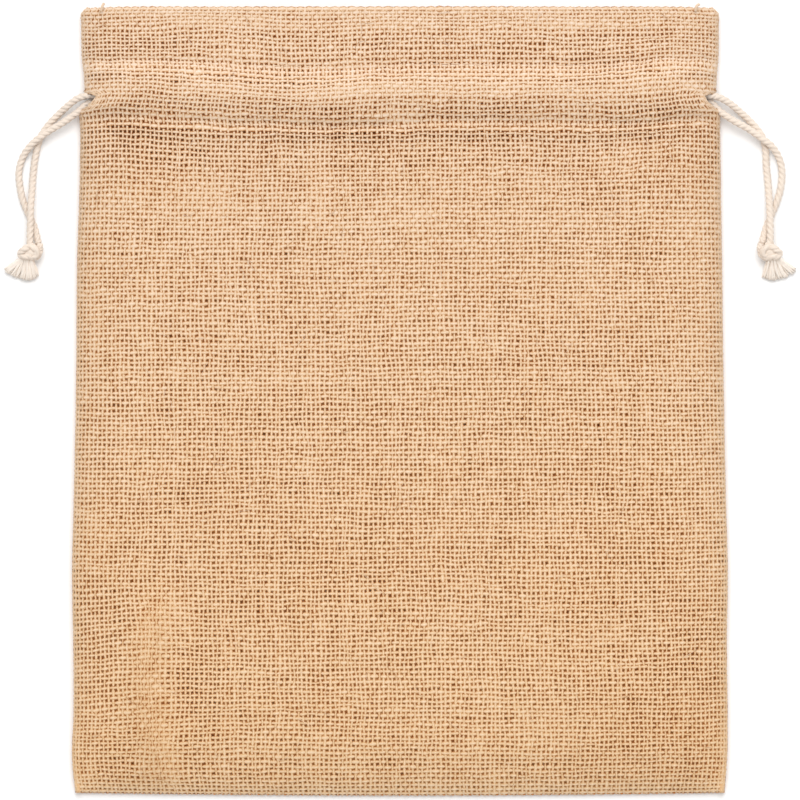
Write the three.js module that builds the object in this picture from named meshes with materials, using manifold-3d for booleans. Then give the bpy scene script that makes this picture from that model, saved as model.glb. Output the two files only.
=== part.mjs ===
// Jute gift bag with two drawcords, lying on its back: +Y towards the mouth, +Z up through its thickness.
// Millimetres. The origin is on the surface under the middle of the bag.
import * as THREE from 'three';
import Module from 'manifold-3d';

const wasm = await Module();
wasm.setup();

// Cloth and bag
const CLOTH = 1.2;
const BAG_HALF_LENGTH = 150.2;
const BOTTOM_CORNER_RISE = 1.6;
const SEAM_HEIGHT = 3.2;
const SEAM_WIDTH = 4;
const SIDE_ROLL = 26;
const EDGE_ROUND = 0.8;
const BOTTOM_BOW_REACH = 40;
const SIDE_CROWDING = 0.07;
const FOLD_FADE_IN = 0.25;
const FOLD_FADE_OUT = 0.7;

// Drawcord channel between the two lines of stitching in the hem
const LOWER_STITCH = 106.3;
const UPPER_STITCH = 127.8;
const CHANNEL_MIDDLE = (LOWER_STITCH + UPPER_STITCH) / 2;
const CHANNEL_HALF = (UPPER_STITCH - LOWER_STITCH) / 2;
const CHANNEL_DEPTH = 4.1;
const CHANNEL_LIFT = 4;
const CHANNEL_SIDE_POCKET = 11;
const STITCH_GROOVE = 0.8;
const STITCH_GROOVE_WIDTH = 1.8;
const STITCH_SPAN = 112;
const STITCH_WAVES = [
  { height: 0.5, length: 23 },
  { height: 0.35, length: 9.7 },
];
const HEM_START = 3;
const HEM_FULL = 1;
const CHANNEL_PAST_ENDS = 1.03;
const INNER_LAYER_INSET = 1.5 * CLOTH;

// Slit in each side seam where the cords come out, with its depth counted in from the edge
const SLIT_HEIGHT = 114.2;
const SLIT_CUT_FROM = -5;
const SLIT_CUT_TO = 30;
const SLIT = [
  { depth: -4, y: 119.4 },
  { depth: -4, y: 108.2 },
  { depth: 2.4, y: 110.7 },
  { depth: 4.4, y: 113.4 },
  { depth: 5.2, y: 116.5 },
  { depth: 4.4, y: 119.1 },
];

// Three-strand cotton cord, its knots and frayed ends
const CORD_RADIUS = 1.35;
const CORD_GROOVE_RADIUS = 0.92;
const CORD_LAY = 6.6;
const CORD_SECTION_POINTS = 6;
const STEPS_PER_LAY = 6;
const HIDDEN_STEP = 6;
const LEFT_LANE = 113.5;
const RIGHT_LANE = 120.6;
const LANE_END = 104;
const LANE_SHARES = [1.05, 1, 0.95, 0.88, 0.5, 0, -0.5, -0.88, -0.95, -1];

const JUTE_COLOUR = 0xdcb58c;
const COTTON_COLOUR = 0xf2e8dd;

// Side edges of the bag up its length
const OUTLINE = [
  { y: -150.2, left: -122.4, right: 122.6 },
  { y: -140, left: -124.6, right: 124.2 },
  { y: -117, left: -124.2, right: 124.6 },
  { y: -94, left: -123.8, right: 123.8 },
  { y: -66, left: -124.4, right: 124.4 },
  { y: -37, left: -124.0, right: 123.8 },
  { y: 8, left: -123.3, right: 123.3 },
  { y: 54, left: -122.8, right: 122.5 },
  { y: 88, left: -121.4, right: 121.7 },
  { y: 105, left: -121.2, right: 121.4 },
  { y: 110, left: -122.4, right: 121.8 },
  { y: 119, left: -119.6, right: 120.2 },
  { y: 131, left: -120.6, right: 121.0 },
  { y: 145, left: -120.2, right: 120.4 },
  { y: 150.2, left: -118.6, right: 118.4 },
];

// Height of the front cloth along the middle of the bag, without the channel's bulge
const PROFILE = [
  { y: -150.2, front: 2.6 },
  { y: -146, front: 5.4 },
  { y: -137, front: 8.6 },
  { y: -120, front: 11.2 },
  { y: -90, front: 12.7 },
  { y: -30, front: 13.6 },
  { y: 60, front: 14.1 },
  { y: 98, front: 14.3 },
  { y: 128, front: 14.1 },
  { y: 150.2, front: 13.5 },
];

// Soft folds of the front: a ridge (or trough, if negative) running up the bag, leaning or bowed sideways
const FOLDS = [
  { x: -91, from: -152, to: -66, lean: 0, bow: -5.5, width: 7, height: 1.5 },
  { x: -104, from: -146, to: -80, lean: 0, bow: -4, width: 6, height: -0.7 },
  { x: -28.5, from: 22, to: 96, lean: 0, bow: 0, width: 8, height: 0.8 },
  { x: -17, from: -104, to: -66, lean: -0.2, bow: 0, width: 7, height: 0.6 },
  { x: 62, from: -140, to: -40, lean: 0.05, bow: 0, width: 16, height: 0.7 },
  { x: 88, from: 20, to: 98, lean: -0.04, bow: 0, width: 12, height: 0.6 },
];

// Rows of the front cloth, close together at the fold, the stitching and the mouth
const FRONT_ROWS = [
  -149.4, -147.4, -144, -138, -129, -117, -104, -90, -75, -60, -44, -26, -8, 10, 28, 46, 64, 80, 92, 101.4,
  104, 106.3, 109, 112.6, 117, 121.6, 125.2, 127.8, 130.4, 136, 143, 148, 150.2,
];
const FRONT_COLUMNS = 27;

// Rows of the hollow inside, from just above the bottom fold to past the mouth
const HOLLOW_ROWS = [
  -146.6, -141, -128, -104, -60, 0, 60, 101.4, 104, 106.8, 109.6, 113, 117, 121, 124.6, 127.4, 130.5, 140, 156,
];
const HOLLOW_COLUMNS = 15;

// Rows of the channel, as shares of its half height from the middle
const CHANNEL_ROWS = [-0.96, -0.86, -0.7, -0.4, 0, 0.4, 0.7, 0.86, 0.96];
const CHANNEL_COLUMNS = 17;

function tableCurve(rows, columns) {
  const heights = rows.map((row) => row.y);
  const values = rows.flatMap((row) => columns.map((column) => row[column]));
  return new THREE.CubicInterpolant(heights, values, columns.length);
}

const outlineCurve = tableCurve(OUTLINE, ['left', 'right']);
const profileCurve = tableCurve(PROFILE, ['front']);

function onBag(y) {
  return THREE.MathUtils.clamp(y, -BAG_HALF_LENGTH, BAG_HALF_LENGTH);
}

function edges(y) {
  const [left, right] = outlineCurve.evaluate(onBag(y));
  return { left, right };
}

// The stitching wanders a little up and down between the side seams
function stitchWave(x) {
  const fade = Math.max(0, 1 - (x / STITCH_SPAN) ** 2);
  return fade * STITCH_WAVES.reduce((sum, wave) => sum + wave.height * Math.sin(x / wave.length), 0);
}

// How far the channel is open at a place: 0 at its stitching, 1 over most of its height
function channelOpen(x, y) {
  const share = (y - CHANNEL_MIDDLE - stitchWave(x)) / CHANNEL_HALF;
  return Math.max(0, 1 - share ** 4);
}

function foldHeight(x, y) {
  return FOLDS.reduce((sum, fold) => {
    const along = (y - fold.from) / (fold.to - fold.from);
    const line = fold.x + fold.lean * (y - fold.from) + fold.bow * 4 * along * (1 - along);
    const across = (x - line) / fold.width;
    const rise = THREE.MathUtils.smoothstep(along, 0, FOLD_FADE_IN);
    const fall = 1 - THREE.MathUtils.smoothstep(along, FOLD_FADE_OUT, 1);
    return sum + fold.height * rise * fall * Math.exp(-across * across);
  }, 0);
}

function grooveDepth(x, y) {
  return [LOWER_STITCH, UPPER_STITCH].reduce((sum, line) => {
    const away = (y - line - stitchWave(x)) / STITCH_GROOVE_WIDTH;
    return sum + STITCH_GROOVE * Math.exp(-away * away);
  }, 0);
}

// Outside of the front cloth: it rolls up from the side seams to its full height
function frontHeight(x, y) {
  const { left, right } = edges(y);
  const inward = Math.min((x - left) / SIDE_ROLL, (right - x) / SIDE_ROLL, 1);
  const fullness = Math.sqrt(1 - (1 - Math.max(inward, 0)) ** 2);
  const [middle] = profileCurve.evaluate(onBag(y));
  const rise = middle - SEAM_HEIGHT + CHANNEL_LIFT * channelOpen(x, y) - grooveDepth(x, y);
  return SEAM_HEIGHT + fullness * (rise + foldHeight(x, y));
}

// Depth of the cloth on one side of the hollow: one layer, or two with the channel between them
function layersDepth(x, y) {
  const hem = THREE.MathUtils.smoothstep(y, LOWER_STITCH - HEM_START, LOWER_STITCH - HEM_FULL);
  return CLOTH * (1 + hem) + CHANNEL_DEPTH * channelOpen(x, y);
}

// The bottom fold bows down between its corners
function bottomBow(x, y) {
  const near = 1 - THREE.MathUtils.smoothstep(y, -BAG_HALF_LENGTH, -BAG_HALF_LENGTH + BOTTOM_BOW_REACH);
  return BOTTOM_CORNER_RISE * near * (x / BAG_HALF_LENGTH) ** 2;
}

function solidFrom(points, triangles) {
  const vertProperties = new Float32Array(points.flatMap((p) => [p.x, p.y, p.z]));
  const triVerts = new Uint32Array(triangles);
  return new wasm.Manifold(new wasm.Mesh({ numProp: 3, vertProperties, triVerts }));
}

function geometryFrom(solid) {
  const { vertProperties, triVerts } = solid.getMesh();
  const geometry = new THREE.BufferGeometry();
  geometry.setAttribute('position', new THREE.BufferAttribute(vertProperties, 3));
  geometry.setIndex(new THREE.BufferAttribute(triVerts, 1));
  geometry.computeVertexNormals();
  return geometry;
}

// Rim of a grid of points, anticlockwise seen from above
function rimIndices(rowCount, columnCount) {
  const rim = [];
  for (let column = 0; column < columnCount - 1; column++) {
    rim.push(column);
  }
  for (let row = 0; row < rowCount - 1; row++) {
    rim.push(row * columnCount + columnCount - 1);
  }
  for (let column = columnCount - 1; column > 0; column--) {
    rim.push((rowCount - 1) * columnCount + column);
  }
  for (let row = rowCount - 1; row > 0; row--) {
    rim.push(row * columnCount);
  }
  return rim;
}

function gridTriangles(rowCount, columnCount) {
  const triangles = [];
  for (let row = 0; row < rowCount - 1; row++) {
    for (let column = 0; column < columnCount - 1; column++) {
      const corner = row * columnCount + column;
      const above = corner + columnCount;
      triangles.push(corner, corner + 1, above, above, corner + 1, above + 1);
    }
  }
  return triangles;
}

// Faces between two loops that run anticlockwise seen from above
function wallTriangles(upper, lower) {
  return upper.flatMap((here, i) => {
    const next = (i + 1) % upper.length;
    return [here, lower[i], upper[next], upper[next], lower[i], lower[next]];
  });
}

function gridPlaces(rows, columnCount, place) {
  return rows.flatMap((row) =>
    Array.from({ length: columnCount }, (_, column) => place(row, column / (columnCount - 1))));
}

// Solid between a lower and an upper surface over a grid of places
function slabSolid(rows, columnCount, place) {
  const places = gridPlaces(rows, columnCount, place);
  const upper = places.map((p) => new THREE.Vector3(p.x, p.y, p.high));
  const lower = places.map((p) => new THREE.Vector3(p.x, p.y, p.low));
  const faces = gridTriangles(rows.length, columnCount);
  const rim = rimIndices(rows.length, columnCount);
  const lowerFaces = faces.map((index) => index + places.length).reverse();
  const walls = wallTriangles(rim, rim.map((index) => index + places.length));
  return solidFrom([...upper, ...lower], [...faces, ...lowerFaces, ...walls]);
}

// Columns crowd towards the side seams, where the cloth rolls
function sideCrowded(u) {
  return u - SIDE_CROWDING * Math.sin(2 * Math.PI * u);
}

// The bag's outside: front cloth over a grid, rounded side and bottom edges, and a flat back
function bagOutside() {
  const place = (row, u) => {
    const { left, right } = edges(row);
    const x = THREE.MathUtils.lerp(left + EDGE_ROUND, right - EDGE_ROUND, sideCrowded(u));
    return new THREE.Vector3(x, row + bottomBow(x, row), frontHeight(x, row));
  };
  const front = gridPlaces(FRONT_ROWS, FRONT_COLUMNS, place);
  const rim = rimIndices(FRONT_ROWS.length, FRONT_COLUMNS);
  const mouthStart = FRONT_COLUMNS + FRONT_ROWS.length - 2;
  const mouthEnd = mouthStart + FRONT_COLUMNS - 1;
  const edge = rim.map((index, i) => {
    const p = front[index];
    const across = i < FRONT_COLUMNS && i > 0 ? 0 : Math.sign(p.x);
    const down = i < FRONT_COLUMNS ? 1 : 0;
    const out = i >= mouthStart && i <= mouthEnd ? 0 : EDGE_ROUND;
    return new THREE.Vector3(p.x + across * out, p.y - down * out, SEAM_HEIGHT / 2);
  });
  const back = rim.map((index) => new THREE.Vector3(front[index].x, front[index].y, 0));
  const edgeLoop = edge.map((_, i) => front.length + i);
  const backLoop = back.map((_, i) => front.length + edge.length + i);
  const backOutline = back.map((p) => new THREE.Vector2(p.x, p.y));
  const backFaces = THREE.ShapeUtils.triangulateShape(backOutline, []).flat();
  const triangles = [
    ...gridTriangles(FRONT_ROWS.length, FRONT_COLUMNS),
    ...wallTriangles(rim, edgeLoop),
    ...wallTriangles(edgeLoop, backLoop),
    ...backFaces.map((i) => backLoop[i]).reverse(),
  ];
  return solidFrom([...front, ...edge, ...back], triangles);
}

function bagHollow() {
  return slabSolid(HOLLOW_ROWS, HOLLOW_COLUMNS, (row, u) => {
    const { left, right } = edges(row);
    const inset = SEAM_WIDTH + CHANNEL_SIDE_POCKET * channelOpen(0, row);
    const x = THREE.MathUtils.lerp(left + inset, right - inset, sideCrowded(u));
    const depth = layersDepth(x, row);
    return { x, y: row + bottomBow(x, row), low: depth, high: frontHeight(x, row) - depth };
  });
}

// The channel runs all round between the hem's two layers, wider at the sides where the cords turn
function bagChannel() {
  const heightOf = (share, x) => CHANNEL_MIDDLE + share * CHANNEL_HALF + stitchWave(x);
  const outer = slabSolid(CHANNEL_ROWS, CHANNEL_COLUMNS, (share, u) => {
    const { left, right } = edges(heightOf(share, 0));
    const inset = CLOTH + EDGE_ROUND;
    const x = THREE.MathUtils.lerp(left + inset, right - inset, sideCrowded(u));
    const y = heightOf(share, x);
    return { x, y, low: CLOTH, high: frontHeight(x, y) - CLOTH };
  });
  const pastEnds = CHANNEL_ROWS.map((share) => share * CHANNEL_PAST_ENDS);
  const inner = slabSolid(pastEnds, CHANNEL_COLUMNS, (share, u) => {
    const { left, right } = edges(heightOf(share, 0));
    const pocket = CHANNEL_SIDE_POCKET * channelOpen(0, heightOf(share, 0));
    const inset = SEAM_WIDTH - INNER_LAYER_INSET + pocket;
    const x = THREE.MathUtils.lerp(left + inset, right - inset, sideCrowded(u));
    const y = heightOf(share, x);
    const depth = CLOTH + CHANNEL_DEPTH * channelOpen(x, y);
    return { x, y, low: depth, high: frontHeight(x, y) - depth };
  });
  return outer.subtract(inner);
}

// Slit through the side seam, where it was left unsewn
function sideSlit(side) {
  const { left, right } = edges(SLIT_HEIGHT);
  const leftSide = side < 0;
  const outline = SLIT.map(({ depth, y }) => new THREE.Vector2(leftSide ? left + depth : right - depth, y));
  if (!leftSide) {
    outline.reverse();
  }
  const low = outline.map((p) => new THREE.Vector3(p.x, p.y, SLIT_CUT_FROM));
  const high = outline.map((p) => new THREE.Vector3(p.x, p.y, SLIT_CUT_TO));
  const lowLoop = outline.map((_, i) => i);
  const highLoop = outline.map((_, i) => outline.length + i);
  const faces = THREE.ShapeUtils.triangulateShape(outline, []).flat();
  const triangles = [
    ...faces.map((i) => highLoop[i]),
    ...faces.map((i) => lowLoop[i]).reverse(),
    ...wallTriangles(highLoop, lowLoop),
  ];
  return solidFrom([...low, ...high], triangles);
}

function bagBody() {
  const cuts = [bagHollow(), bagChannel(), sideSlit(-1), sideSlit(1)];
  return cuts.reduce((cloth, cut) => cloth.subtract(cut), bagOutside());
}

// Free stretches of the cords, from the slit to the knot: the upper one comes from the front channel
// and goes straight into its knot, the lower one crosses over it, swings out and ends behind it
const LEFT_UPPER = [
  { x: -112.8, y: 115.2, z: 9.6 },
  { x: -116.7, y: 116.8, z: 7.3 },
  { x: -122.1, y: 116.0, z: 6.2 },
  { x: -126.3, y: 113.3, z: 4.6 },
  { x: -129.7, y: 110.4, z: 2.6 },
  { x: -133.9, y: 106.2, z: 1.5 },
  { x: -136.9, y: 101.9, z: 1.46 },
  { x: -138.3, y: 98.0, z: 1.46 },
  { x: -139.6, y: 91.6, z: 1.46 },
  { x: -140.2, y: 85.9, z: 1.6 },
  { x: -140.5, y: 79.8, z: 3.0 },
  { x: -140.8, y: 74.5, z: 4.5 },
  { x: -141.0, y: 67.6, z: 4.8 },
  { x: -141.2, y: 61.1, z: 5.0 },
];
const LEFT_LOWER = [
  { x: -113.6, y: 114.0, z: 3.6 },
  { x: -118.4, y: 114.0, z: 4.8 },
  { x: -123.3, y: 110.3, z: 5.0 },
  { x: -128.6, y: 106.5, z: 4.8 },
  { x: -132.8, y: 104.0, z: 4.65 },
  { x: -137.1, y: 101.1, z: 4.65 },
  { x: -140.6, y: 98.2, z: 3.6 },
  { x: -143.8, y: 93.9, z: 2.0 },
  { x: -145.5, y: 88.2, z: 1.46 },
  { x: -145.3, y: 83.3, z: 1.46 },
  { x: -143.8, y: 77.2, z: 1.46 },
  { x: -141.4, y: 72.0, z: 1.46 },
  { x: -138.7, y: 67.2, z: 1.6 },
  { x: -137.2, y: 63.6, z: 2.2 },
  { x: -136.8, y: 60.5, z: 2.9 },
];
const RIGHT_UPPER = [
  { x: 112.8, y: 118.4, z: 9.6 },
  { x: 116.7, y: 116.8, z: 7.3 },
  { x: 121.2, y: 116.2, z: 6.4 },
  { x: 125.6, y: 114.0, z: 4.9 },
  { x: 130.7, y: 110.0, z: 2.4 },
  { x: 135.6, y: 105.2, z: 1.5 },
  { x: 138.6, y: 100.8, z: 1.46 },
  { x: 139.6, y: 96.6, z: 1.46 },
  { x: 139.9, y: 90.5, z: 1.46 },
  { x: 140.4, y: 85.2, z: 1.6 },
  { x: 140.8, y: 78.7, z: 3.0 },
  { x: 141.0, y: 73.6, z: 4.5 },
  { x: 141.2, y: 67.2, z: 4.8 },
  { x: 141.2, y: 61.1, z: 5.0 },
];
const RIGHT_LOWER = [
  { x: 113.4, y: 118.4, z: 3.6 },
  { x: 117.6, y: 115.2, z: 4.8 },
  { x: 121.7, y: 111.1, z: 5.0 },
  { x: 127.4, y: 107.2, z: 4.9 },
  { x: 132.8, y: 104.2, z: 4.65 },
  { x: 138.2, y: 100.4, z: 4.65 },
  { x: 141.9, y: 97.6, z: 3.6 },
  { x: 144.9, y: 92.8, z: 2.0 },
  { x: 145.9, y: 87.8, z: 1.46 },
  { x: 145.5, y: 82.2, z: 1.46 },
  { x: 143.9, y: 76.4, z: 1.46 },
  { x: 141.6, y: 71.6, z: 1.46 },
  { x: 139.0, y: 67.0, z: 1.6 },
  { x: 137.4, y: 63.6, z: 2.2 },
  { x: 136.8, y: 60.5, z: 2.9 },
];

// Turn of a cord round the far side of the bag, inside the channel, from the front to the back
const FAR_TURN = [
  { out: 5.4, share: 1 },
  { out: 8.6, share: 0.8 },
  { out: 10.4, share: 0.5 },
  { out: 8.8, share: 0.12 },
  { out: 5.2, share: 0 },
];

function laneHeight(x, y) {
  return frontHeight(x, y) - CLOTH - CHANNEL_DEPTH / 2;
}

// Run of a cord hidden in the channel: along the front, round the far side and back behind
function hiddenRun(side, lane) {
  const back = CLOTH + CHANNEL_DEPTH / 2;
  const spots = LANE_SHARES.map((share) => side * share * LANE_END);
  const front = spots.map((x) => new THREE.Vector3(x, lane, laneHeight(x, lane)));
  const behind = spots.map((x) => new THREE.Vector3(x, lane, back)).reverse();
  const turn = FAR_TURN.map(({ out, share }) => {
    const x = -side * (LANE_END + out);
    return new THREE.Vector3(x, lane, THREE.MathUtils.lerp(back, laneHeight(x, lane), share));
  });
  return [...front, ...turn, ...behind];
}

// Skin round a cord: at each station the section's points stand at their own radii, turned by its twist
function sectionRing(station, normal, binormal) {
  return Array.from({ length: CORD_SECTION_POINTS }, (_, i) => {
    const angle = station.twist + (2 * Math.PI * i) / CORD_SECTION_POINTS;
    const radius = station.twisted && i % 2 ? CORD_GROOVE_RADIUS : CORD_RADIUS;
    return station.place.clone()
      .addScaledVector(normal, radius * Math.cos(angle))
      .addScaledVector(binormal, radius * Math.sin(angle));
  });
}

// Closes a row of rings of equal size into one skin with flat ends
function ringSkin(rings) {
  const size = rings[0].length;
  const triangles = [];
  for (let ring = 0; ring < rings.length - 1; ring++) {
    for (let i = 0; i < size; i++) {
      const here = ring * size + i;
      const next = ring * size + ((i + 1) % size);
      triangles.push(here, next, here + size, here + size, next, next + size);
    }
  }
  const last = (rings.length - 1) * size;
  for (let i = 1; i < size - 1; i++) {
    triangles.push(0, i + 1, i, last, last + i, last + i + 1);
  }
  return solidFrom(rings.flat(), triangles);
}

// Frames carried along the cord without turning about it
function cordSolid(stations) {
  const normal = new THREE.Vector3(0, 0, 1);
  const rings = stations.map((station) => {
    normal.addScaledVector(station.tangent, -normal.dot(station.tangent)).normalize();
    const binormal = new THREE.Vector3().crossVectors(station.tangent, normal);
    return sectionRing(station, normal, binormal);
  });
  return ringSkin(rings);
}

// Stations at even steps along a curve; the twist goes on from where the last stretch left it
function stretchStations(curve, step, twisted, hand, twistBefore) {
  const length = curve.getLength();
  const count = Math.ceil(length / step);
  return Array.from({ length: count + 1 }, (_, i) => ({
    place: curve.getPointAt(i / count),
    tangent: curve.getTangentAt(i / count),
    twisted,
    twist: twistBefore + (twisted ? (hand * 2 * Math.PI * i) / STEPS_PER_LAY : 0),
  }));
}

function smoothCurve(points) {
  const places = points.map((p) => new THREE.Vector3(p.x, p.y, p.z));
  return new THREE.CatmullRomCurve3(places, false, 'centripetal');
}

// One whole cord, from its knot through the front channel, round and back to its knot
function drawcord(side, lane, upper, lower, hand) {
  const step = CORD_LAY / STEPS_PER_LAY;
  const hidden = [upper[0], ...hiddenRun(side, lane), lower[0]];
  const first = stretchStations(smoothCurve([...upper].reverse()), step, true, hand, 0);
  const middle = stretchStations(smoothCurve(hidden), HIDDEN_STEP, false, hand, first.at(-1).twist);
  const last = stretchStations(smoothCurve(lower), step, true, hand, first.at(-1).twist);
  return cordSolid([...first, ...middle.slice(1, -1), ...last]);
}

// Knot of one side, with x counted outwards from the middle of the bag
const KNOT = { out: 142.2, y: 57.1, z: 4.35 };
const KNOT_RADII = new THREE.Vector3(4.1, 3.7, 4.2);
const KNOT_COLUMNS = 12;
const KNOT_ROWS = 8;
const WRAP_RADIUS = 2.1;
const WRAP_SIDES = 8;
const WRAP_STEPS = 9;
const WRAP_ROUTE = [
  { out: 137.6, y: 59.0, z: 3.6 },
  { out: 137.3, y: 57.0, z: 4.6 },
  { out: 138.4, y: 55.2, z: 5.2 },
  { out: 141.2, y: 55.9, z: 6.2 },
  { out: 143.8, y: 57.6, z: 5.8 },
  { out: 145.0, y: 58.4, z: 4.2 },
];

// Frayed ends: layers of locks that fan out below the knot, the lowest on the surface
const LOCK_LAYERS = [
  { rootHeight: 1.6, tipHeight: 0.45, reach: 1.0, shift: 0 },
  { rootHeight: 3.4, tipHeight: 1.55, reach: 0.94, shift: 0.5 },
  { rootHeight: 5.0, tipHeight: 2.6, reach: 0.86, shift: 0 },
];
const LOCKS_IN_LAYER = 7;
const LOCK_REACH = [8.1, 9.0, 9.3, 9.5, 9.5, 9.0, 7.4];
const LOCK_ROOT = { out: 142.6, y: 55.6, half: 2.1 };
const LOCK_FAN_OUTER = 226;
const LOCK_FAN_INNER = 300;
const LOCK_ROOT_RADIUS = 0.52;
const LOCK_TIP_RADIUS = 0.4;
const LOCK_SIDES = 4;
const LOCK_STEPS = 3;

// Bends of a lock from root to tip: shares of its reach across and along, and of its drop left
const LOCK_BENDS = [
  { across: 0, along: 0, height: 1 },
  { across: 0.25, along: 0.38, height: 1 },
  { across: 0.62, along: 0.7, height: 0.25 },
  { across: 1, along: 1, height: 0 },
];

function tubeRings(curve, steps, sides, radiusAt) {
  const { normals, binormals } = curve.computeFrenetFrames(steps, false);
  return Array.from({ length: steps + 1 }, (_, step) => {
    const place = curve.getPointAt(step / steps);
    return Array.from({ length: sides }, (_unused, i) => {
      const angle = (2 * Math.PI * i) / sides;
      return place.clone()
        .addScaledVector(normals[step], radiusAt(step / steps) * Math.cos(angle))
        .addScaledVector(binormals[step], radiusAt(step / steps) * Math.sin(angle));
    });
  });
}

function knotBall(side) {
  const rows = Array.from({ length: KNOT_ROWS - 1 }, (_, i) => (Math.PI * (i + 1)) / KNOT_ROWS);
  const rings = rows.map((polar) =>
    Array.from({ length: KNOT_COLUMNS }, (_, i) => {
      const turn = (2 * Math.PI * i) / KNOT_COLUMNS;
      return new THREE.Vector3(
        side * KNOT.out + KNOT_RADII.x * Math.sin(polar) * Math.cos(turn),
        KNOT.y + KNOT_RADII.y * Math.sin(polar) * Math.sin(turn),
        KNOT.z - KNOT_RADII.z * Math.cos(polar),
      );
    }));
  return ringSkin(rings);
}

function knotWrap(side) {
  const route = smoothCurve(WRAP_ROUTE.map((p) => ({ x: side * p.out, y: p.y, z: p.z })));
  return ringSkin(tubeRings(route, WRAP_STEPS, WRAP_SIDES, () => WRAP_RADIUS));
}

function knotLock(side, layer, index) {
  const share = (index + layer.shift) / (LOCKS_IN_LAYER - 1);
  const angle = THREE.MathUtils.degToRad(THREE.MathUtils.lerp(LOCK_FAN_OUTER, LOCK_FAN_INNER, share));
  const rootOut = LOCK_ROOT.out + LOCK_ROOT.half * (1 - 2 * share);
  const reach = layer.reach * LOCK_REACH[index];
  const outward = -Math.cos(angle) * reach;
  const down = Math.sin(angle) * reach;
  const route = smoothCurve(LOCK_BENDS.map((bend) => ({
    x: side * (rootOut + bend.across * outward),
    y: LOCK_ROOT.y + bend.along * down,
    z: THREE.MathUtils.lerp(layer.tipHeight, layer.rootHeight, bend.height),
  })));
  const taper = (along) => THREE.MathUtils.lerp(LOCK_ROOT_RADIUS, LOCK_TIP_RADIUS, along);
  return ringSkin(tubeRings(route, LOCK_STEPS, LOCK_SIDES, taper));
}

function knotWithTuft(side) {
  const locks = LOCK_LAYERS.flatMap((layer) => {
    const count = LOCKS_IN_LAYER - Math.ceil(layer.shift);
    return Array.from({ length: count }, (_, index) => knotLock(side, layer, index));
  });
  return [knotWrap(side), ...locks].reduce((knot, piece) => knot.add(piece), knotBall(side));
}

const jute = () => new THREE.MeshStandardMaterial({ color: JUTE_COLOUR, roughness: 0.9, metalness: 0 });
const cotton = () => new THREE.MeshStandardMaterial({ color: COTTON_COLOUR, roughness: 0.85, metalness: 0 });

function piece(name, solid, material) {
  const mesh = new THREE.Mesh(geometryFrom(solid), material);
  mesh.name = name;
  return mesh;
}

const bag = new THREE.Group();
bag.add(piece('bag_body', bagBody(), jute()));
bag.add(piece('drawcord_left', drawcord(-1, LEFT_LANE, LEFT_UPPER, LEFT_LOWER, 1), cotton()));
bag.add(piece('drawcord_right', drawcord(1, RIGHT_LANE, RIGHT_UPPER, RIGHT_LOWER, -1), cotton()));
bag.add(piece('knot_left', knotWithTuft(-1), cotton()));
bag.add(piece('knot_right', knotWithTuft(1), cotton()));

export default bag;
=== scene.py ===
import bpy
import numpy as np
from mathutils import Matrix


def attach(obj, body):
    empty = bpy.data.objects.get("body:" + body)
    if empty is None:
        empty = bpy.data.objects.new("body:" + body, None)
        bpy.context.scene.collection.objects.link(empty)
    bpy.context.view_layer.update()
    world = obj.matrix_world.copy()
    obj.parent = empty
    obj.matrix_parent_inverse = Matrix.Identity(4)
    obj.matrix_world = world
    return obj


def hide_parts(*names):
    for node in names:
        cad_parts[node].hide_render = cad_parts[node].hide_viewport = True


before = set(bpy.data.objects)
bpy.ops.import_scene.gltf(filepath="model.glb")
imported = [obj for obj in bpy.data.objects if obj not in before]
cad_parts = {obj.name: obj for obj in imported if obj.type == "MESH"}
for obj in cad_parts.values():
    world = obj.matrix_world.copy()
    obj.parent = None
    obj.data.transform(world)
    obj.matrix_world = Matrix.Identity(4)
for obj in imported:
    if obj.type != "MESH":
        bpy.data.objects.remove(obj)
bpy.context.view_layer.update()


# Camera straight above the bag, with the mouth at the top of the picture. The lens is long, so that the
# weave stays square to the picture's edges. Sizes are in millimetres.
MM = 0.001
VIEW_WIDTH = 304.8
VIEW_DISTANCE = 2200
VIEW_PLANE = 7
VIEW_MIDDLE = 0.76
SENSOR_WIDTH = 36
VIEW_CLIP = 20

camera_lens = bpy.data.cameras.new("camera")
camera_lens.sensor_width = SENSOR_WIDTH
camera_lens.lens = SENSOR_WIDTH * VIEW_DISTANCE / VIEW_WIDTH
camera_lens.clip_end = VIEW_CLIP
camera = bpy.data.objects.new("camera", camera_lens)
camera.location = (0, VIEW_MIDDLE * MM, (VIEW_PLANE + VIEW_DISTANCE) * MM)
bpy.context.scene.collection.objects.link(camera)
bpy.context.scene.camera = camera


# Drawcords, free stretches: three-strand twisted cotton cord, 2.7 mm thick. From each slit an upper
# stretch goes straight down into the knot, and a lower one crosses over it, swings out and comes back
# behind it. The left cord is laid one way and the right cord the other, so each side mirrors the other.
STRAND_OFFSET = 0.5
STRAND_RADIUS = 0.9
CORD_LAY = 6.6
CORD_CORNERS = 18
CORD_STEP = 0.5
CORD_MEASURE_STATIONS = 400
SPLINE_STEPS = 40
UPRIGHT = np.array([0, 0, 1.0])
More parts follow.
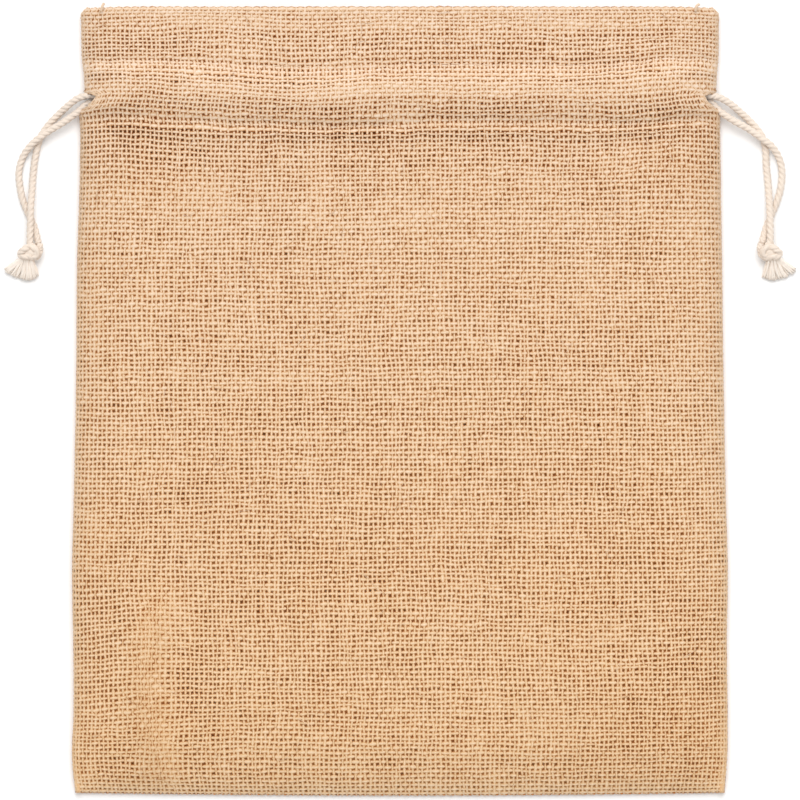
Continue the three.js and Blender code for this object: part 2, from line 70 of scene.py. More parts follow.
# Bake map: margin, width, start and length of a tube's strip, and the places and step of its end faces
STRIP_MARGIN = 0.03
STRIP_WIDTH = 0.94
STRIP_START = 0.004
STRIP_LENGTH = 0.992
STRIP_ENDS = (0.001, 0.997)
END_STEP = 0.002
FIBRE_SPECULAR = 0.2
FIBRE_DETAIL = 3.0
FIBRE_RELIEF = 0.0002
COTTON_STREAKS = (0.55, 26, 1)
COTTON_ROUGHNESS = 0.85
COTTON_BUMP = 0.6
COTTON_SHEEN = 0.15
COTTON_SHADE_PLACES = (0.25, 0.5, 0.8)
CORD_SHADES = [(214, 196, 180), (227, 213, 199), (235, 223, 211)]
LEFT_UPPER = [
    (-112.8, 115.2, 9.6), (-116.7, 116.8, 7.3), (-122.1, 116.0, 6.2), (-126.3, 113.3, 4.6),
    (-129.7, 110.4, 2.6), (-133.9, 106.2, 1.5), (-136.9, 101.9, 1.46), (-138.3, 98.0, 1.46),
    (-139.6, 91.6, 1.46), (-140.2, 85.9, 1.6), (-140.5, 79.8, 3.0), (-140.8, 74.5, 4.5),
    (-141.0, 67.6, 4.8), (-141.1, 61.1, 5.0), (-141.0, 58.6, 4.6),
]
LEFT_LOWER = [
    (-113.6, 114.0, 3.6), (-118.4, 114.0, 4.8), (-123.3, 110.3, 5.0), (-128.6, 106.5, 4.8),
    (-132.8, 104.0, 4.65), (-137.1, 101.1, 4.65), (-140.6, 98.2, 3.6), (-143.8, 93.9, 2.0),
    (-145.5, 88.2, 1.46), (-145.3, 83.3, 1.46), (-144.1, 77.2, 1.46), (-142.0, 72.0, 1.46),
    (-139.8, 67.2, 1.7), (-138.7, 63.6, 2.7), (-138.0, 60.4, 3.8),
]
RIGHT_UPPER = [
    (112.8, 118.4, 9.6), (116.7, 116.8, 7.3), (121.2, 116.2, 6.4), (125.6, 114.0, 4.9),
    (130.7, 110.0, 2.4), (135.6, 105.2, 1.5), (138.6, 100.8, 1.46), (139.6, 96.6, 1.46),
    (139.9, 90.5, 1.46), (140.4, 85.2, 1.6), (140.8, 78.7, 3.0), (141.0, 73.6, 4.5),
    (141.2, 67.2, 4.8), (141.2, 61.1, 5.0), (141.0, 58.6, 4.6),
]
RIGHT_LOWER = [
    (113.4, 118.4, 3.6), (117.6, 115.2, 4.8), (121.7, 111.1, 5.0), (127.4, 107.2, 4.9),
    (132.8, 104.2, 4.65), (138.2, 100.4, 4.65), (141.9, 97.6, 3.6), (144.9, 92.8, 2.0),
    (145.9, 87.8, 1.46), (145.5, 82.2, 1.46), (143.9, 76.4, 1.46), (141.9, 71.6, 1.46),
    (140.0, 67.0, 1.7), (138.9, 63.6, 2.7), (138.1, 60.4, 3.8),
]


def unit(vectors):
    """Each vector divided by its own length."""
    return vectors / np.linalg.norm(vectors, axis=-1, keepdims=True)


def run_along(path):
    """Distance along a path: the running sum of the lengths between its points."""
    return np.concatenate([[0], np.cumsum(np.linalg.norm(np.diff(path, axis=0), axis=1))])


def smooth_path(points, stations):
    """Curve through the points, at even steps: a cubic between each two, whose slopes come from the
    points before and after, weighted by the square root of the distances (a centripetal spline)."""
    points = np.asarray(points, float)
    ends = 2 * points[[0, -1]] - points[[1, -2]]
    longer = np.concatenate([ends[:1], points, ends[1:]])
    p0, p1, p2, p3 = (longer[i : i + len(points) - 1] for i in range(4))
    d0, d1, d2 = (
        np.sqrt(np.linalg.norm(after - before, axis=1, keepdims=True))
        for before, after in ((p0, p1), (p1, p2), (p2, p3))
    )
    start = d1 * ((p1 - p0) / d0 - (p2 - p0) / (d0 + d1) + (p2 - p1) / d1)
    end = d1 * ((p2 - p1) / d1 - (p3 - p1) / (d1 + d2) + (p3 - p2) / d2)
    t = np.linspace(0, 1, SPLINE_STEPS, endpoint=False)[None, :, None]
    p1, p2, start, end = (a[:, None] for a in (p1, p2, start, end))
    square = (3 * (p2 - p1) - 2 * start - end) * t**2
    cube = (2 * (p1 - p2) + start + end) * t**3
    fine = np.concatenate([(p1 + start * t + square + cube).reshape(-1, 3), points[-1:]])
    run = run_along(fine)
    even = np.linspace(0, run[-1], stations)
    return np.stack([np.interp(even, run, fine[:, axis]) for axis in range(3)], axis=1)


def cord_rings(path, upright, hand):
    """Skin of a three-strand cord along a path. A distance s along it the section has turned by s / lay
    of a full turn. Its radius is that of the nearest of three circles set round the middle, offset *
    cos(a) + sqrt(radius^2 - (offset * sin(a))^2), where a is the angle from that strand's middle."""
    ahead = unit(np.gradient(path, axis=0))
    side = unit(np.cross(upright, ahead))
    up = np.cross(ahead, side)
    corner = 2 * np.pi * np.arange(CORD_CORNERS) / CORD_CORNERS
    from_strand = (corner + np.pi / 3) % (2 * np.pi / 3) - np.pi / 3
    hidden_part = np.sqrt(STRAND_RADIUS**2 - (STRAND_OFFSET * np.sin(from_strand)) ** 2)
    radius = STRAND_OFFSET * np.cos(from_strand) + hidden_part
    turn = corner[None] + hand * 2 * np.pi * run_along(path)[:, None] / CORD_LAY
    outward = np.cos(turn)[..., None] * side[:, None] + np.sin(turn)[..., None] * up[:, None]
    return path[:, None] + radius[None, :, None] * outward


def tube_mesh(name, rings, sharp):
    """Closed tubes from rings[tube, station, corner]: a face joins each two neighbouring corners to the
    same two a station on, and a flat face closes each end. Edges along the sharp corners stay crisp."""
    tubes, stations, corners, _ = rings.shape
    index = np.arange(tubes * stations * corners).reshape(tubes, stations, corners)
    after = np.roll(index, -1, axis=2)
    walls = np.stack([index[:, :-1], after[:, :-1], after[:, 1:], index[:, 1:]], axis=-1)
    ends = np.concatenate([index[:, 0, ::-1], index[:, -1]])
    mesh = bpy.data.meshes.new(name)
    mesh.vertices.add(index.size)
    mesh.vertices.foreach_set("co", (rings * MM).astype(np.float32).ravel())
    mesh.loops.add(walls.size + ends.size)
    mesh.loops.foreach_set("vertex_index", np.concatenate([walls.ravel(), ends.ravel()]).astype(np.int32))
    wall_count = walls.size // 4
    starts = np.concatenate([4 * np.arange(wall_count), walls.size + corners * np.arange(2 * tubes)])
    mesh.polygons.add(len(starts))
    mesh.polygons.foreach_set("loop_start", starts.astype(np.int32))
    mesh.polygons.foreach_set("use_smooth", np.ones(len(starts), bool))
    mesh.update(calc_edges=True)
    edge_ends = np.empty(2 * len(mesh.edges), np.int32)
    mesh.edges.foreach_get("vertices", edge_ends)
    first, second = edge_ends.reshape(-1, 2).T % corners
    crisp = mesh.attributes.new("sharp_edge", "BOOLEAN", "EDGE")
    crisp.data.foreach_set("value", (first == second) & np.isin(first, sharp))
    return mesh


def tube_maps(rings):
    """The bake map lays the tubes out as strips side by side, with their end faces past the strips' ends.
    The fibre map holds millimetres along a tube and the share of the way round it."""
    tubes, stations, corners, _ = rings.shape
    tube_of, station_of, corner_of = np.meshgrid(
        np.arange(tubes), np.arange(stations - 1), np.arange(corners), indexing="ij"
    )
    around = corner_of[..., None] + np.array([0, 1, 1, 0])
    station = station_of[..., None] + np.array([0, 0, 1, 1])
    across = (tube_of[..., None] + STRIP_MARGIN + STRIP_WIDTH * around / corners) / tubes
    along = STRIP_START + STRIP_LENGTH * station / (stations - 1)
    in_order = np.arange(corners)
    end_around = np.concatenate([np.tile(in_order[::-1], tubes), np.tile(in_order, tubes)])
    end_tube = np.tile(np.repeat(np.arange(tubes), corners), 2)
    end_across = (end_tube + STRIP_MARGIN + STRIP_WIDTH * end_around / corners) / tubes
    end_along = np.repeat(STRIP_ENDS, tubes * corners) + END_STEP * (end_around % 2)
    wall_bake = np.stack([across, along], axis=-1).reshape(-1, 2)
    bake = np.concatenate([wall_bake, np.stack([end_across, end_along], axis=-1)])
    steps = np.linalg.norm(np.diff(rings.mean(axis=2), axis=1), axis=-1)
    run = np.concatenate([np.zeros((tubes, 1)), np.cumsum(steps, axis=1)], axis=1)
    wall_fibre = np.stack([run[tube_of[..., None], station], around / corners], axis=-1).reshape(-1, 2)
    return {"OFBake": bake, "fibre": np.concatenate([wall_fibre, np.zeros((len(end_around), 2))])}


def tube_piece(name, rings, material, node, sharp=(), **marks):
    """One piece of closed tubes that stands for a solid. Each mark is a number for every corner, kept
    under its own name for the material."""
    mesh = tube_mesh(name, rings, sharp)
    for map_name, places in tube_maps(rings).items():
        mesh.uv_layers.new(name=map_name).data.foreach_set("uv", places.astype(np.float32).ravel())
    for mark, values in marks.items():
        stored = mesh.attributes.new(mark, "FLOAT", "POINT")
        stored.data.foreach_set("value", np.broadcast_to(values, rings.shape[:3]).astype(np.float32).ravel())
    mesh.materials.append(material)
    piece = bpy.data.objects.new(name, mesh)
    bpy.context.scene.collection.objects.link(piece)
    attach(piece, "root")
    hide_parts(node)
    return piece


def linear(red, green, blue):
    """A picture's colour, 0 to 255, as light: ((c + 0.055) / 1.055) to the power 2.4."""
    return (*(((np.array([red, green, blue]) / 255 + 0.055) / 1.055) ** 2.4), 1.0)


def fibre_material(name, coordinate, scale, roughness, bump, sheen):
    """Matt fibre: a noise drawn out along the yarn, as dark and pale streaks and as small bumps. Returns
    the material, its shader and the noise's value."""
    material = bpy.data.materials.new(name)
    material.use_nodes = True
    nodes, links = material.node_tree.nodes, material.node_tree.links
    shader = nodes["Principled BSDF"]
    shader.inputs["Roughness"].default_value = roughness
    shader.inputs["Sheen Weight"].default_value = sheen
    shader.inputs["Specular IOR Level"].default_value = FIBRE_SPECULAR
    if coordinate == "fibre":
        place = nodes.new("ShaderNodeUVMap")
        place.uv_map = "fibre"
        place = place.outputs["UV"]
    else:
        place = nodes.new("ShaderNodeTexCoord").outputs["Object"]
    stretch = nodes.new("ShaderNodeMapping")
    stretch.inputs["Scale"].default_value = scale
    noise = nodes.new("ShaderNodeTexNoise")
    noise.inputs["Scale"].default_value = 1.0
    noise.inputs["Detail"].default_value = FIBRE_DETAIL
    raised = nodes.new("ShaderNodeBump")
    raised.inputs["Strength"].default_value = bump
    raised.inputs["Distance"].default_value = FIBRE_RELIEF
    links.new(place, stretch.inputs["Vector"])
    links.new(stretch.outputs["Vector"], noise.inputs["Vector"])
    links.new(noise.outputs["Fac"], raised.inputs["Height"])
    links.new(raised.outputs["Normal"], shader.inputs["Normal"])
    return material, shader, noise.outputs["Fac"]


def colour_ramp(material, value, colours):
    """Colour by value: the given colours at the given places between 0 and 1, blended evenly."""
    ramp = material.node_tree.nodes.new("ShaderNodeValToRGB")
    ramp.color_ramp.elements[0].position, ramp.color_ramp.elements[0].color = colours[0]
    ramp.color_ramp.elements[1].position, ramp.color_ramp.elements[1].color = colours[-1]
    for place, colour in colours[1:-1]:
        ramp.color_ramp.elements.new(place).color = colour
    material.node_tree.links.new(value, ramp.inputs["Fac"])
    return ramp.outputs["Color"]


def cotton_material(name, shades):
    """Cotton fibre in three shades, from the noise's hollows to its crests."""
    material, shader, streaks = fibre_material(
        name, "fibre", COTTON_STREAKS, COTTON_ROUGHNESS, COTTON_BUMP, COTTON_SHEEN
    )
    colours = [(place, linear(*shade)) for place, shade in zip(COTTON_SHADE_PLACES, shades)]
    material.node_tree.links.new(colour_ramp(material, streaks, colours), shader.inputs["Base Color"])
    return material


cotton = cotton_material("cotton", CORD_SHADES)

FREE_STRETCHES = [
    ("left_cord_upper", LEFT_UPPER, 1, "drawcord_left"),
    ("left_cord_lower", LEFT_LOWER, 1, "drawcord_left"),
    ("right_cord_upper", RIGHT_UPPER, -1, "drawcord_right"),
    ("right_cord_lower", RIGHT_LOWER, -1, "drawcord_right"),
]
free_paths = {}
for name, points, hand, node in FREE_STRETCHES:
    length = run_along(smooth_path(points, CORD_MEASURE_STATIONS))[-1]
    free_paths[name] = smooth_path(points, int(length / CORD_STEP))
    rings = cord_rings(free_paths[name], UPRIGHT, hand)
    tube_piece(name, rings[None], cotton, node)


# Drawcords, hidden runs: each cord goes on through the front channel to the far side seam, turns there
# and comes back through the rear channel. It lies loose between the two layers of the hem.
CLOTH = 1.2
CHANNEL_DEPTH = 4.1
LEFT_LANE = 113.5
RIGHT_LANE = 120.6
LANE_END = 104
LANE_SHARES = np.array([1.05, 1, 0.95, 0.88, 0.5, 0, -0.5, -0.88, -0.95, -1])
FAR_TURN_OUT = np.array([5.4, 8.6, 10.4, 8.8, 5.2])
FAR_TURN_SHARE = np.array([1, 0.8, 0.5, 0.12, 0])
HIDDEN_STEP = 1.6
HIDDEN_MEASURE_STATIONS = 800
UP_THE_BAG = np.array([0, 1.0, 0])
OUTLINE_ROWS = np.array(
    [-150.2, -140, -117, -94, -66, -37, 8, 54, 88, 105, 110, 119, 131, 145, 148.2, 150.2]
)
OUTLINE_LEFT = np.array(
    [-123.6, -124.8, -124.4, -124.4, -124.9, -124.3, -123.4, -123]
    + [-122, -122, -122.4, -120.4, -121.3, -121.5, -121.5, -119.8]
)
OUTLINE_RIGHT = np.array(
    [123.6, 124.5, 124.8, 124.5, 124.9, 124.2, 123.3, 122.7]
    + [122.2, 122, 122.1, 120.7, 121.4, 121.4, 121.3, 119.5]
)
PROFILE_ROWS = np.array([-150.2, -146, -137, -120, -90, -30, 60, 98, 128, 150.2])
PROFILE_FRONT = np.array([2.6, 5.4, 8.6, 11.2, 12.7, 13.6, 14.1, 14.3, 14.1, 13.5])
SEAM_HEIGHT = 3.2
SIDE_ROLL = 26
LOWER_STITCH = 106.3
UPPER_STITCH = 127.8
CHANNEL_MIDDLE = (LOWER_STITCH + UPPER_STITCH) / 2
CHANNEL_HALF = (UPPER_STITCH - LOWER_STITCH) / 2
CHANNEL_LIFT = 4
STITCH_GROOVE = 0.8
STITCH_GROOVE_WIDTH = 1.8
STITCH_SPAN = 112
# Wander of the stitching: the height of each sine wave, and its length divided by 2 pi
STITCH_WAVES = [(0.5, 23), (0.35, 9.7)]
FOLD_STARTS = (0, 0.25)
FOLD_ENDS = (0.7, 1)
# Soft folds of the front, ridges or troughs up the bag: x, from, to, lean, bow, width and height
FOLDS = [
    (-91, -152, -66, 0, -5.5, 7, 1.5),
    (-104, -146, -80, 0, -4, 6, -0.7),
    (-28.5, 22, 96, 0, 0, 8, 0.8),
    (-17, -104, -66, -0.2, 0, 7, 0.6),
    (62, -140, -40, 0.05, 0, 16, 0.7),
    (88, 20, 98, -0.04, 0, 12, 0.6),
]


def table_curve(places, values, at):
    """Smooth curve through a table's rows: a cubic between each two, whose slope at a row is the weighted
    mean of the slopes on both sides of it."""
    slopes = np.gradient(values, places)
    at = np.clip(at, places[0], places[-1])
    row = np.clip(np.searchsorted(places, at) - 1, 0, len(places) - 2)
    step = places[row + 1] - places[row]
    t = (at - places[row]) / step
    low, high = values[row], values[row + 1]
    rise = slopes[row] * step, slopes[row + 1] * step
    bend = (3 * (high - low) - 2 * rise[0] - rise[1]) * t**2
    return low + rise[0] * t + bend + (2 * (low - high) + rise[0] + rise[1]) * t**3


def ease(value, start, end):
    """0 up to start, 1 from end on, and 3t^2 - 2t^3 between them."""
    t = np.clip((value - start) / (end - start), 0, 1)
    return t * t * (3 - 2 * t)


def stitch_wave(x):
    """The stitching wanders up and down by two sine waves, which fade towards the side seams."""
    wander = sum(height * np.sin(x / length) for height, length in STITCH_WAVES)
    return np.maximum(0, 1 - (x / STITCH_SPAN) ** 2) * wander


def channel_open(x, y):
    """How far the channel stands open: 1 - share^4, where share goes from its middle to its stitching."""
    return np.maximum(0, 1 - ((y - CHANNEL_MIDDLE - stitch_wave(x)) / CHANNEL_HALF) ** 4)


def fold_height(x, y):
    """Sum of the soft folds: each a bell across its own line, fading in and out along it."""
    height = np.zeros(np.broadcast(x, y).shape)
    for line, start, end, lean, bow, width, rise in FOLDS:
        along = (y - start) / (end - start)
        across = (x - line - lean * (y - start) - bow * 4 * along * (1 - along)) / width
        fade = ease(along, *FOLD_STARTS) * (1 - ease(along, *FOLD_ENDS))
        height += rise * fade * np.exp(-(across**2))
    return height


def outline(row):
    """Left and right edge of the bag at a row: the curves through the outline's tables."""
    return table_curve(OUTLINE_ROWS, OUTLINE_LEFT, row), table_curve(OUTLINE_ROWS, OUTLINE_RIGHT, row)


def front_height(x, y):
    """Outside of the front cloth: a quarter ellipse up from each side seam to the profile of the middle,
    with the channel's bulge, the folds, and a groove at each line of stitching."""
    left, right = outline(y)
    inward = np.clip(np.minimum(x - left, right - x) / SIDE_ROLL, 0, 1)
    fullness = np.sqrt(1 - (1 - inward) ** 2)
    rise = table_curve(PROFILE_ROWS, PROFILE_FRONT, y) - SEAM_HEIGHT + CHANNEL_LIFT * channel_open(x, y)
    for line in (LOWER_STITCH, UPPER_STITCH):
        rise = rise - STITCH_GROOVE * np.exp(-(((y - line - stitch_wave(x)) / STITCH_GROOVE_WIDTH) ** 2))
    return SEAM_HEIGHT + fullness * (rise + fold_height(x, y))


def lane_height(x, lane):
    """Height of a cord in the front channel: half its depth below the inside of the front cloth."""
    return front_height(x, np.full_like(x, lane)) - CLOTH - CHANNEL_DEPTH / 2


def hidden_points(side, lane, first, last):
    """Route of a cord in the channel: along the front, round the far side from the front's height to the
    back's, and along the back."""
    rear = CLOTH + CHANNEL_DEPTH / 2
    spots = side * LANE_SHARES * LANE_END
    turn = -side * (LANE_END + FAR_TURN_OUT)
    x = np.concatenate([spots, turn, spots[::-1]])
    turn_height = rear + FAR_TURN_SHARE * (lane_height(turn, lane) - rear)
    z = np.concatenate([lane_height(spots, lane), turn_height, np.full_like(spots, rear)])
    return np.concatenate([[first], np.stack([x, np.full_like(x, lane), z], axis=1), [last]])


HIDDEN_RUNS = [
    ("left_cord_in_channel", -1, LEFT_LANE, LEFT_UPPER[0], LEFT_LOWER[0], 1, "drawcord_left"),
    ("right_cord_in_channel", 1, RIGHT_LANE, RIGHT_UPPER[0], RIGHT_LOWER[0], -1, "drawcord_right"),
]
for name, side, lane, first, last, hand, node in HIDDEN_RUNS:
    points = hidden_points(side, lane, first, last)
    length = run_along(smooth_path(points, HIDDEN_MEASURE_STATIONS))[-1]
    path = smooth_path(points, int(length / HIDDEN_STEP))
    tube_piece(name, cord_rings(path, UP_THE_BAG, hand)[None], cotton, node)


# Knots: both ends of a cord are tied together in one overhand knot, drawn tight. What shows is a band
# slung over the top from the bag's side to the outer side, a second band below it and a loop on the bag's
# side.
KNOT_CENTRE = np.array([141.1, 57.1, 4.2])
KNOT_CORE = np.array([3.5, 2.8, 3.0])
KNOT_STATIONS = 44
KNOT_POLE = 0.02
KNOT_UPRIGHT = np.array([0, 1.0, 0.01])
KNOT_BANDS = [
    [
        (-3.5, 3.0, -0.4), (-3.7, 1.6, 0.3), (-3.5, 0.1, 0.4),
        (-2.9, -1.3, 0.3), (-1.9, -1.9, 0.4), (-0.8, -2.0, 0.5),
    ],
    [
        (-0.1, 2.4, 1.7), (-1.5, 1.7, 2.5), (-2.6, 0.6, 2.3),
        (-2.6, -0.7, 1.8), (-1.7, -1.6, 1.4), (-0.7, -2.0, 0.6),
    ],
    [
        (-1.4, 2.5, 0.8), (0.2, 2.1, 2.2), (1.7, 1.3, 2.6),
        (3.0, 0.3, 2.0), (3.5, -0.8, 0.5), (3.1, -1.6, -1.2),
    ],
    [
        (3.6, 0.2, -0.4), (3.3, -1.1, 1.0), (2.0, -1.6, 1.9),
        (0.6, -1.6, 1.9), (-0.5, -2.0, 1.1), (-1.2, -2.2, -0.2),
    ],
]


def knot_core():
    """Ball inside the knot, as rings from pole to pole: radius sin(a) at height cos(a), times its sizes."""
    polar = np.linspace(KNOT_POLE, np.pi - KNOT_POLE, KNOT_STATIONS)[:, None]
    corner = 2 * np.pi * np.arange(CORD_CORNERS) / CORD_CORNERS
    ball = [np.sin(polar) * np.cos(corner), np.sin(polar) * np.sin(corner), -np.cos(polar) + 0 * corner]
    return np.stack(ball, axis=-1) * KNOT_CORE


for side, name, node, hand in ((-1, "left_knot", "knot_left", 1), (1, "right_knot", "knot_right", -1)):
    outward = np.array([side, 1, 1])
    bands = [
        cord_rings(smooth_path(np.array(band) * outward, KNOT_STATIONS), KNOT_UPRIGHT, hand)
        for band in KNOT_BANDS
    ]
    rings = np.stack([*bands, knot_core()]) + KNOT_CENTRE * outward
    tube_piece(name, rings, cotton, node)


# Tufts: below each knot the cord's ends are frayed back into their yarns, which fan out over the surface,
# with one lock that strays outwards. They are as limp as wool and keep the crimp of the twist.
TUFT_LOCKS = 70
TUFT_STATIONS = 9
TUFT_CORNERS = 6
TUFT_ROOT_OUT = (3.6, -0.7)
TUFT_ROOT_DOWN = -2.6
TUFT_SHARES = np.array([0, 0.08, 0.16, 0.24, 0.4, 0.6, 0.75, 0.88, 1])
TUFT_TIPS_OUT = np.array([10.1, 9.7, 9.2, 6.4, 4.8, 1.6, -0.3, -1.6, -2.8])
TUFT_TIPS_DOWN = np.array([-6.0, -7.0, -8.0, -9.3, -9.8, -10.6, -10.4, -9.8, -9.1])
LOCK_RADIUS = 0.5
# Chance in a lock: the spread of its length and of its tip's place, and its least and added size
LOCK_LENGTH_SPREAD = 0.03
LOCK_TIP_SPREAD = 0.2
LOCK_SIZES = (0.8, 0.4)
# Crimp of a lock, its height and its number of waves, and the powers by which it spreads, falls and drops
LOCK_CRIMP = 0.16
LOCK_CRIMP_WAVES = 1.1
LOCK_SPREAD_POWER = 1.15
LOCK_FALL_POWER = 0.9
LOCK_DROP_POWER = 1.2
LOCK_TUCK = 0.7
# Lowest lock and the added height of the uppermost one, at the root and at the tip
ROOT_HEIGHTS = (1.6, 4.0)
TIP_HEIGHTS = (0.55, 1.5)
LOCK_SWELL = (0.85, 0.25)
LOCK_TAPER = 0.5
TUFT_SEED = 7
# Paler than the cords: partly the frayed cotton's own colour, partly painted light offsetting shade among
# the locks
TUFT_LIGHTENED_SHADES = [(236, 221, 207), (244, 233, 221), (249, 241, 232)]


def round_rings(paths, radius, corners):
    """Round tubes along paths[tube, station]: at each station a circle square to the path, by its radius."""
    ahead = unit(np.gradient(paths, axis=1))
    across = unit(np.cross(UPRIGHT, ahead))
    up = np.cross(ahead, across)
    corner = 2 * np.pi * np.arange(corners) / corners
    spread = np.cos(corner)[:, None] * across[:, :, None] + np.sin(corner)[:, None] * up[:, :, None]
    return paths[:, :, None] + radius[..., None, None] * spread


lightened_cotton = cotton_material("cotton_loose", TUFT_LIGHTENED_SHADES)
chance = np.random.default_rng(TUFT_SEED)
for side, name, node in ((-1, "left_tuft", "knot_left"), (1, "right_tuft", "knot_right")):
    share = (np.arange(TUFT_LOCKS) + chance.random(TUFT_LOCKS)) / TUFT_LOCKS
    layer = chance.random(TUFT_LOCKS)
    reach = 1 + LOCK_LENGTH_SPREAD * chance.standard_normal(TUFT_LOCKS)
    t = np.linspace(0, 1, TUFT_STATIONS)[None, :]
    root_out = TUFT_ROOT_OUT[0] + share * (TUFT_ROOT_OUT[1] - TUFT_ROOT_OUT[0])
    stray = LOCK_TIP_SPREAD * chance.standard_normal(TUFT_LOCKS)
    tip_out = np.interp(share, TUFT_SHARES, TUFT_TIPS_OUT) + stray
    tip_down = TUFT_ROOT_DOWN + reach * (np.interp(share, TUFT_SHARES, TUFT_TIPS_DOWN) - TUFT_ROOT_DOWN)
    turns = LOCK_CRIMP_WAVES * t + chance.random((TUFT_LOCKS, 1))
    wave = LOCK_CRIMP * np.sin(2 * np.pi * turns) * t
    out = root_out[:, None] + (tip_out - root_out)[:, None] * t**LOCK_SPREAD_POWER + wave
    fall = (tip_down - TUFT_ROOT_DOWN - LOCK_TUCK)[:, None] * t**LOCK_FALL_POWER
    down = TUFT_ROOT_DOWN + LOCK_TUCK + fall
    root_height = ROOT_HEIGHTS[0] + ROOT_HEIGHTS[1] * layer
    tip_height = TIP_HEIGHTS[0] + TIP_HEIGHTS[1] * layer
    height = tip_height[:, None] + (root_height - tip_height)[:, None] * (1 - t) ** LOCK_DROP_POWER
    paths = np.stack([side * (KNOT_CENTRE[0] + out), KNOT_CENTRE[1] + down, height], axis=-1)
    swell = (LOCK_SWELL[0] + LOCK_SWELL[1] * np.sin(np.pi * t)) * (1 - LOCK_TAPER * t**4)
    thick = LOCK_RADIUS * swell * (LOCK_SIZES[0] + LOCK_SIZES[1] * chance.random((TUFT_LOCKS, 1)))
    tube_piece(name, round_rings(paths, thick, TUFT_CORNERS), lightened_cotton, node)

for name, points, hand, node in FREE_STRETCHES:
    path = free_paths[name] * MM


# Cloth of the bag: natural jute in plain weave, about six yarns to the centimetre each way, in one length
# folded at the bottom and sewn at the sides. Warps go up the bag and wefts across it, over one and under
# the next. They are hand-spun, so their thickness, spacing and colour wander.
WARPS = 149
WEFTS = 165
BAG_HALF_LENGTH = 150.2
BOTTOM_CORNER_RISE = 1.6
BOTTOM_BOW_REACH = 40
ARC_SHARE = 0.6
HEADING_CLOSER = 0.12
CLOSER_STEPS = [(CHANNEL_MIDDLE - 4, CHANNEL_MIDDLE + 6), (138, 146)]
MEASURE_PLACES = 4001
SPACING_ROW = 6
CRIMP_WARP = 0.13
CRIMP_WEFT = 0.17
WARP_TONE = 0.59
WEFT_TONE = 0.65
# Painted light: a strong orange on the yarns' sides that look into the bag, for light come through the
# fibres
INSIDE_GLOW_COLOUR = (240, 146, 62)
BOTTOM_TINT = (0.985, 0.955, 0.885, 1)
MOUTH_TINT = (0.915, 0.95, 1.055, 1)
WARP_HALF_WIDTH = 0.65
WEFT_HALF_WIDTH = 0.7
YARN_HALF_THICKNESS = 0.25
SEAM_MIDDLE = 1.75
FOLD_MIDDLE = 1.5
LOWEST = 0.02
SLIT_ROWS = np.array([108.5, 109.5, 110.6, 111.4, 113.2, 115.1, 116.3, 116.8, 118.6, 120])
SLIT_DEPTHS = np.array([0, 0.2, 1.4, 3.8, 5.6, 6.0, 5.8, 0.8, 0.3, 0])
SLIT_OPEN = 1.4
SLIT_PULL = 8.0
RIGHT_SLIT_SHARE = 0.92
SHOULDER_SAG = 1.0
SHOULDER_FADE = 14
CORNER_FILL = 1.3
# Middle of the sag and of the fill above the lower stitching, in their own widths, and those widths
SHOULDER_PLACE = 1.2
SHOULDER_WIDTH = 3.6
CORNER_PLACE = -0.45
CORNER_WIDTH = 4.2
HEM_WAVE = 1.8
HEM_WAVE_PLACE = 108
HEM_WAVE_WIDTH = 22
HEM_WAVE_STARTS = (60, 95)
HEM_WAVE_ENDS = (122, 142)
HEM_WAVE_LOSS = 0.8
# Rows where the wefts lie close, such as at the stitching, or drawn apart, as shares of their width
BAND_ROWS = np.array(
    [-150, -60, 0, 50, 88, 95, 98, 103, 105.6, 107, 109.5, 113, 116.5, 118.7, 121, 124, 126.3, 128.6]
    + [131, 134, 138, 141, 142.5, 144.5, 147, 150]
)
BAND_WIDTHS = np.array(
    [0.98, 0.98, 1.0, 1.03, 1.03, 0.98, 0.94, 0.92, 1.34, 1.22, 0.98, 0.95, 1.05, 1.15, 1.02, 1.0, 1.46]
    + [1.05, 0.97, 1.0, 0.95, 1.12, 1.2, 1.05, 1.0, 1.05]
)
# Soft patches of closed or open weave: x, y, half width, half height, change of the yarns' width
PATCHES = [
    (-87, 77.5, 36, 5, 0.2), (-72, 80, 11, 6, 0.1), (-29.5, 80.5, 4.5, 13, 0.2),
    (27, 82.5, 36, 5, 0.1), (6, 72, 19, 3.5, 0.08), (91.5, 92, 23, 5, 0.1),
    (-116, 38.5, 3.2, 27, 0.17), (112, 63.5, 4, 29, 0.13), (-116, -52.5, 7, 11, 0.17),
    (93.5, -16.5, 2, 21, 0.1), (12, -18.5, 10, 23, 0.04), (-96, 98.5, 25, 11, -0.15),
    (-31, 102, 20, 5, -0.09), (32.5, 101, 32, 6, -0.1), (-99, 136, 23, 5.5, -0.12),
    (10, 136, 63, 5.5, -0.1), (-88, 121.5, 25, 3.5, -0.14), (91.5, 124.5, 30, 4, -0.12),
    (-78, -110, 9, 21, -0.08), (-112, -91, 8.5, 15, -0.05), (107, -98.5, 9.5, 15, -0.06),
    (0, 130, 45, 6, 0.06), (0, 120.5, 45, 4, 0.09), (0, 110, 45, 5, 0.05),
    (-82, 111.5, 22, 3, -0.06), (-82, 147.5, 32, 3, -0.09), (82, 146.5, 30, 3.5, -0.1),
    (82, 114.5, 25, 2, 0.1), (25, 97, 65, 3, 0.05), (0, 91.5, 45, 2.5, -0.05),
]
# Line of the crease at the lower left, where the cloth was folded in its pack: rows and places
CREASE_ROWS = np.array([-152, -141, -129, -121, -110, -102, -91, -74, -66])
CREASE_PLACES = np.array([-88.5, -90.8, -93, -94.4, -95.8, -95.9, -93.8, -91.8, -91.4])
CREASE_WIDTH = 6.5
CREASE_RIDGE = 0.7
CREASE_GATHER = 1.8
CREASE_STARTS = (-152, -140)
CREASE_ENDS = (-84, -64)
# Dip of the rows left of the crease: a share of the distance from it, from the first to the most
CREASE_DIP = 0.5
DIP_FROM = 0.4
DIP_MOST = 6
DIP_ROWS = (-135, -115)
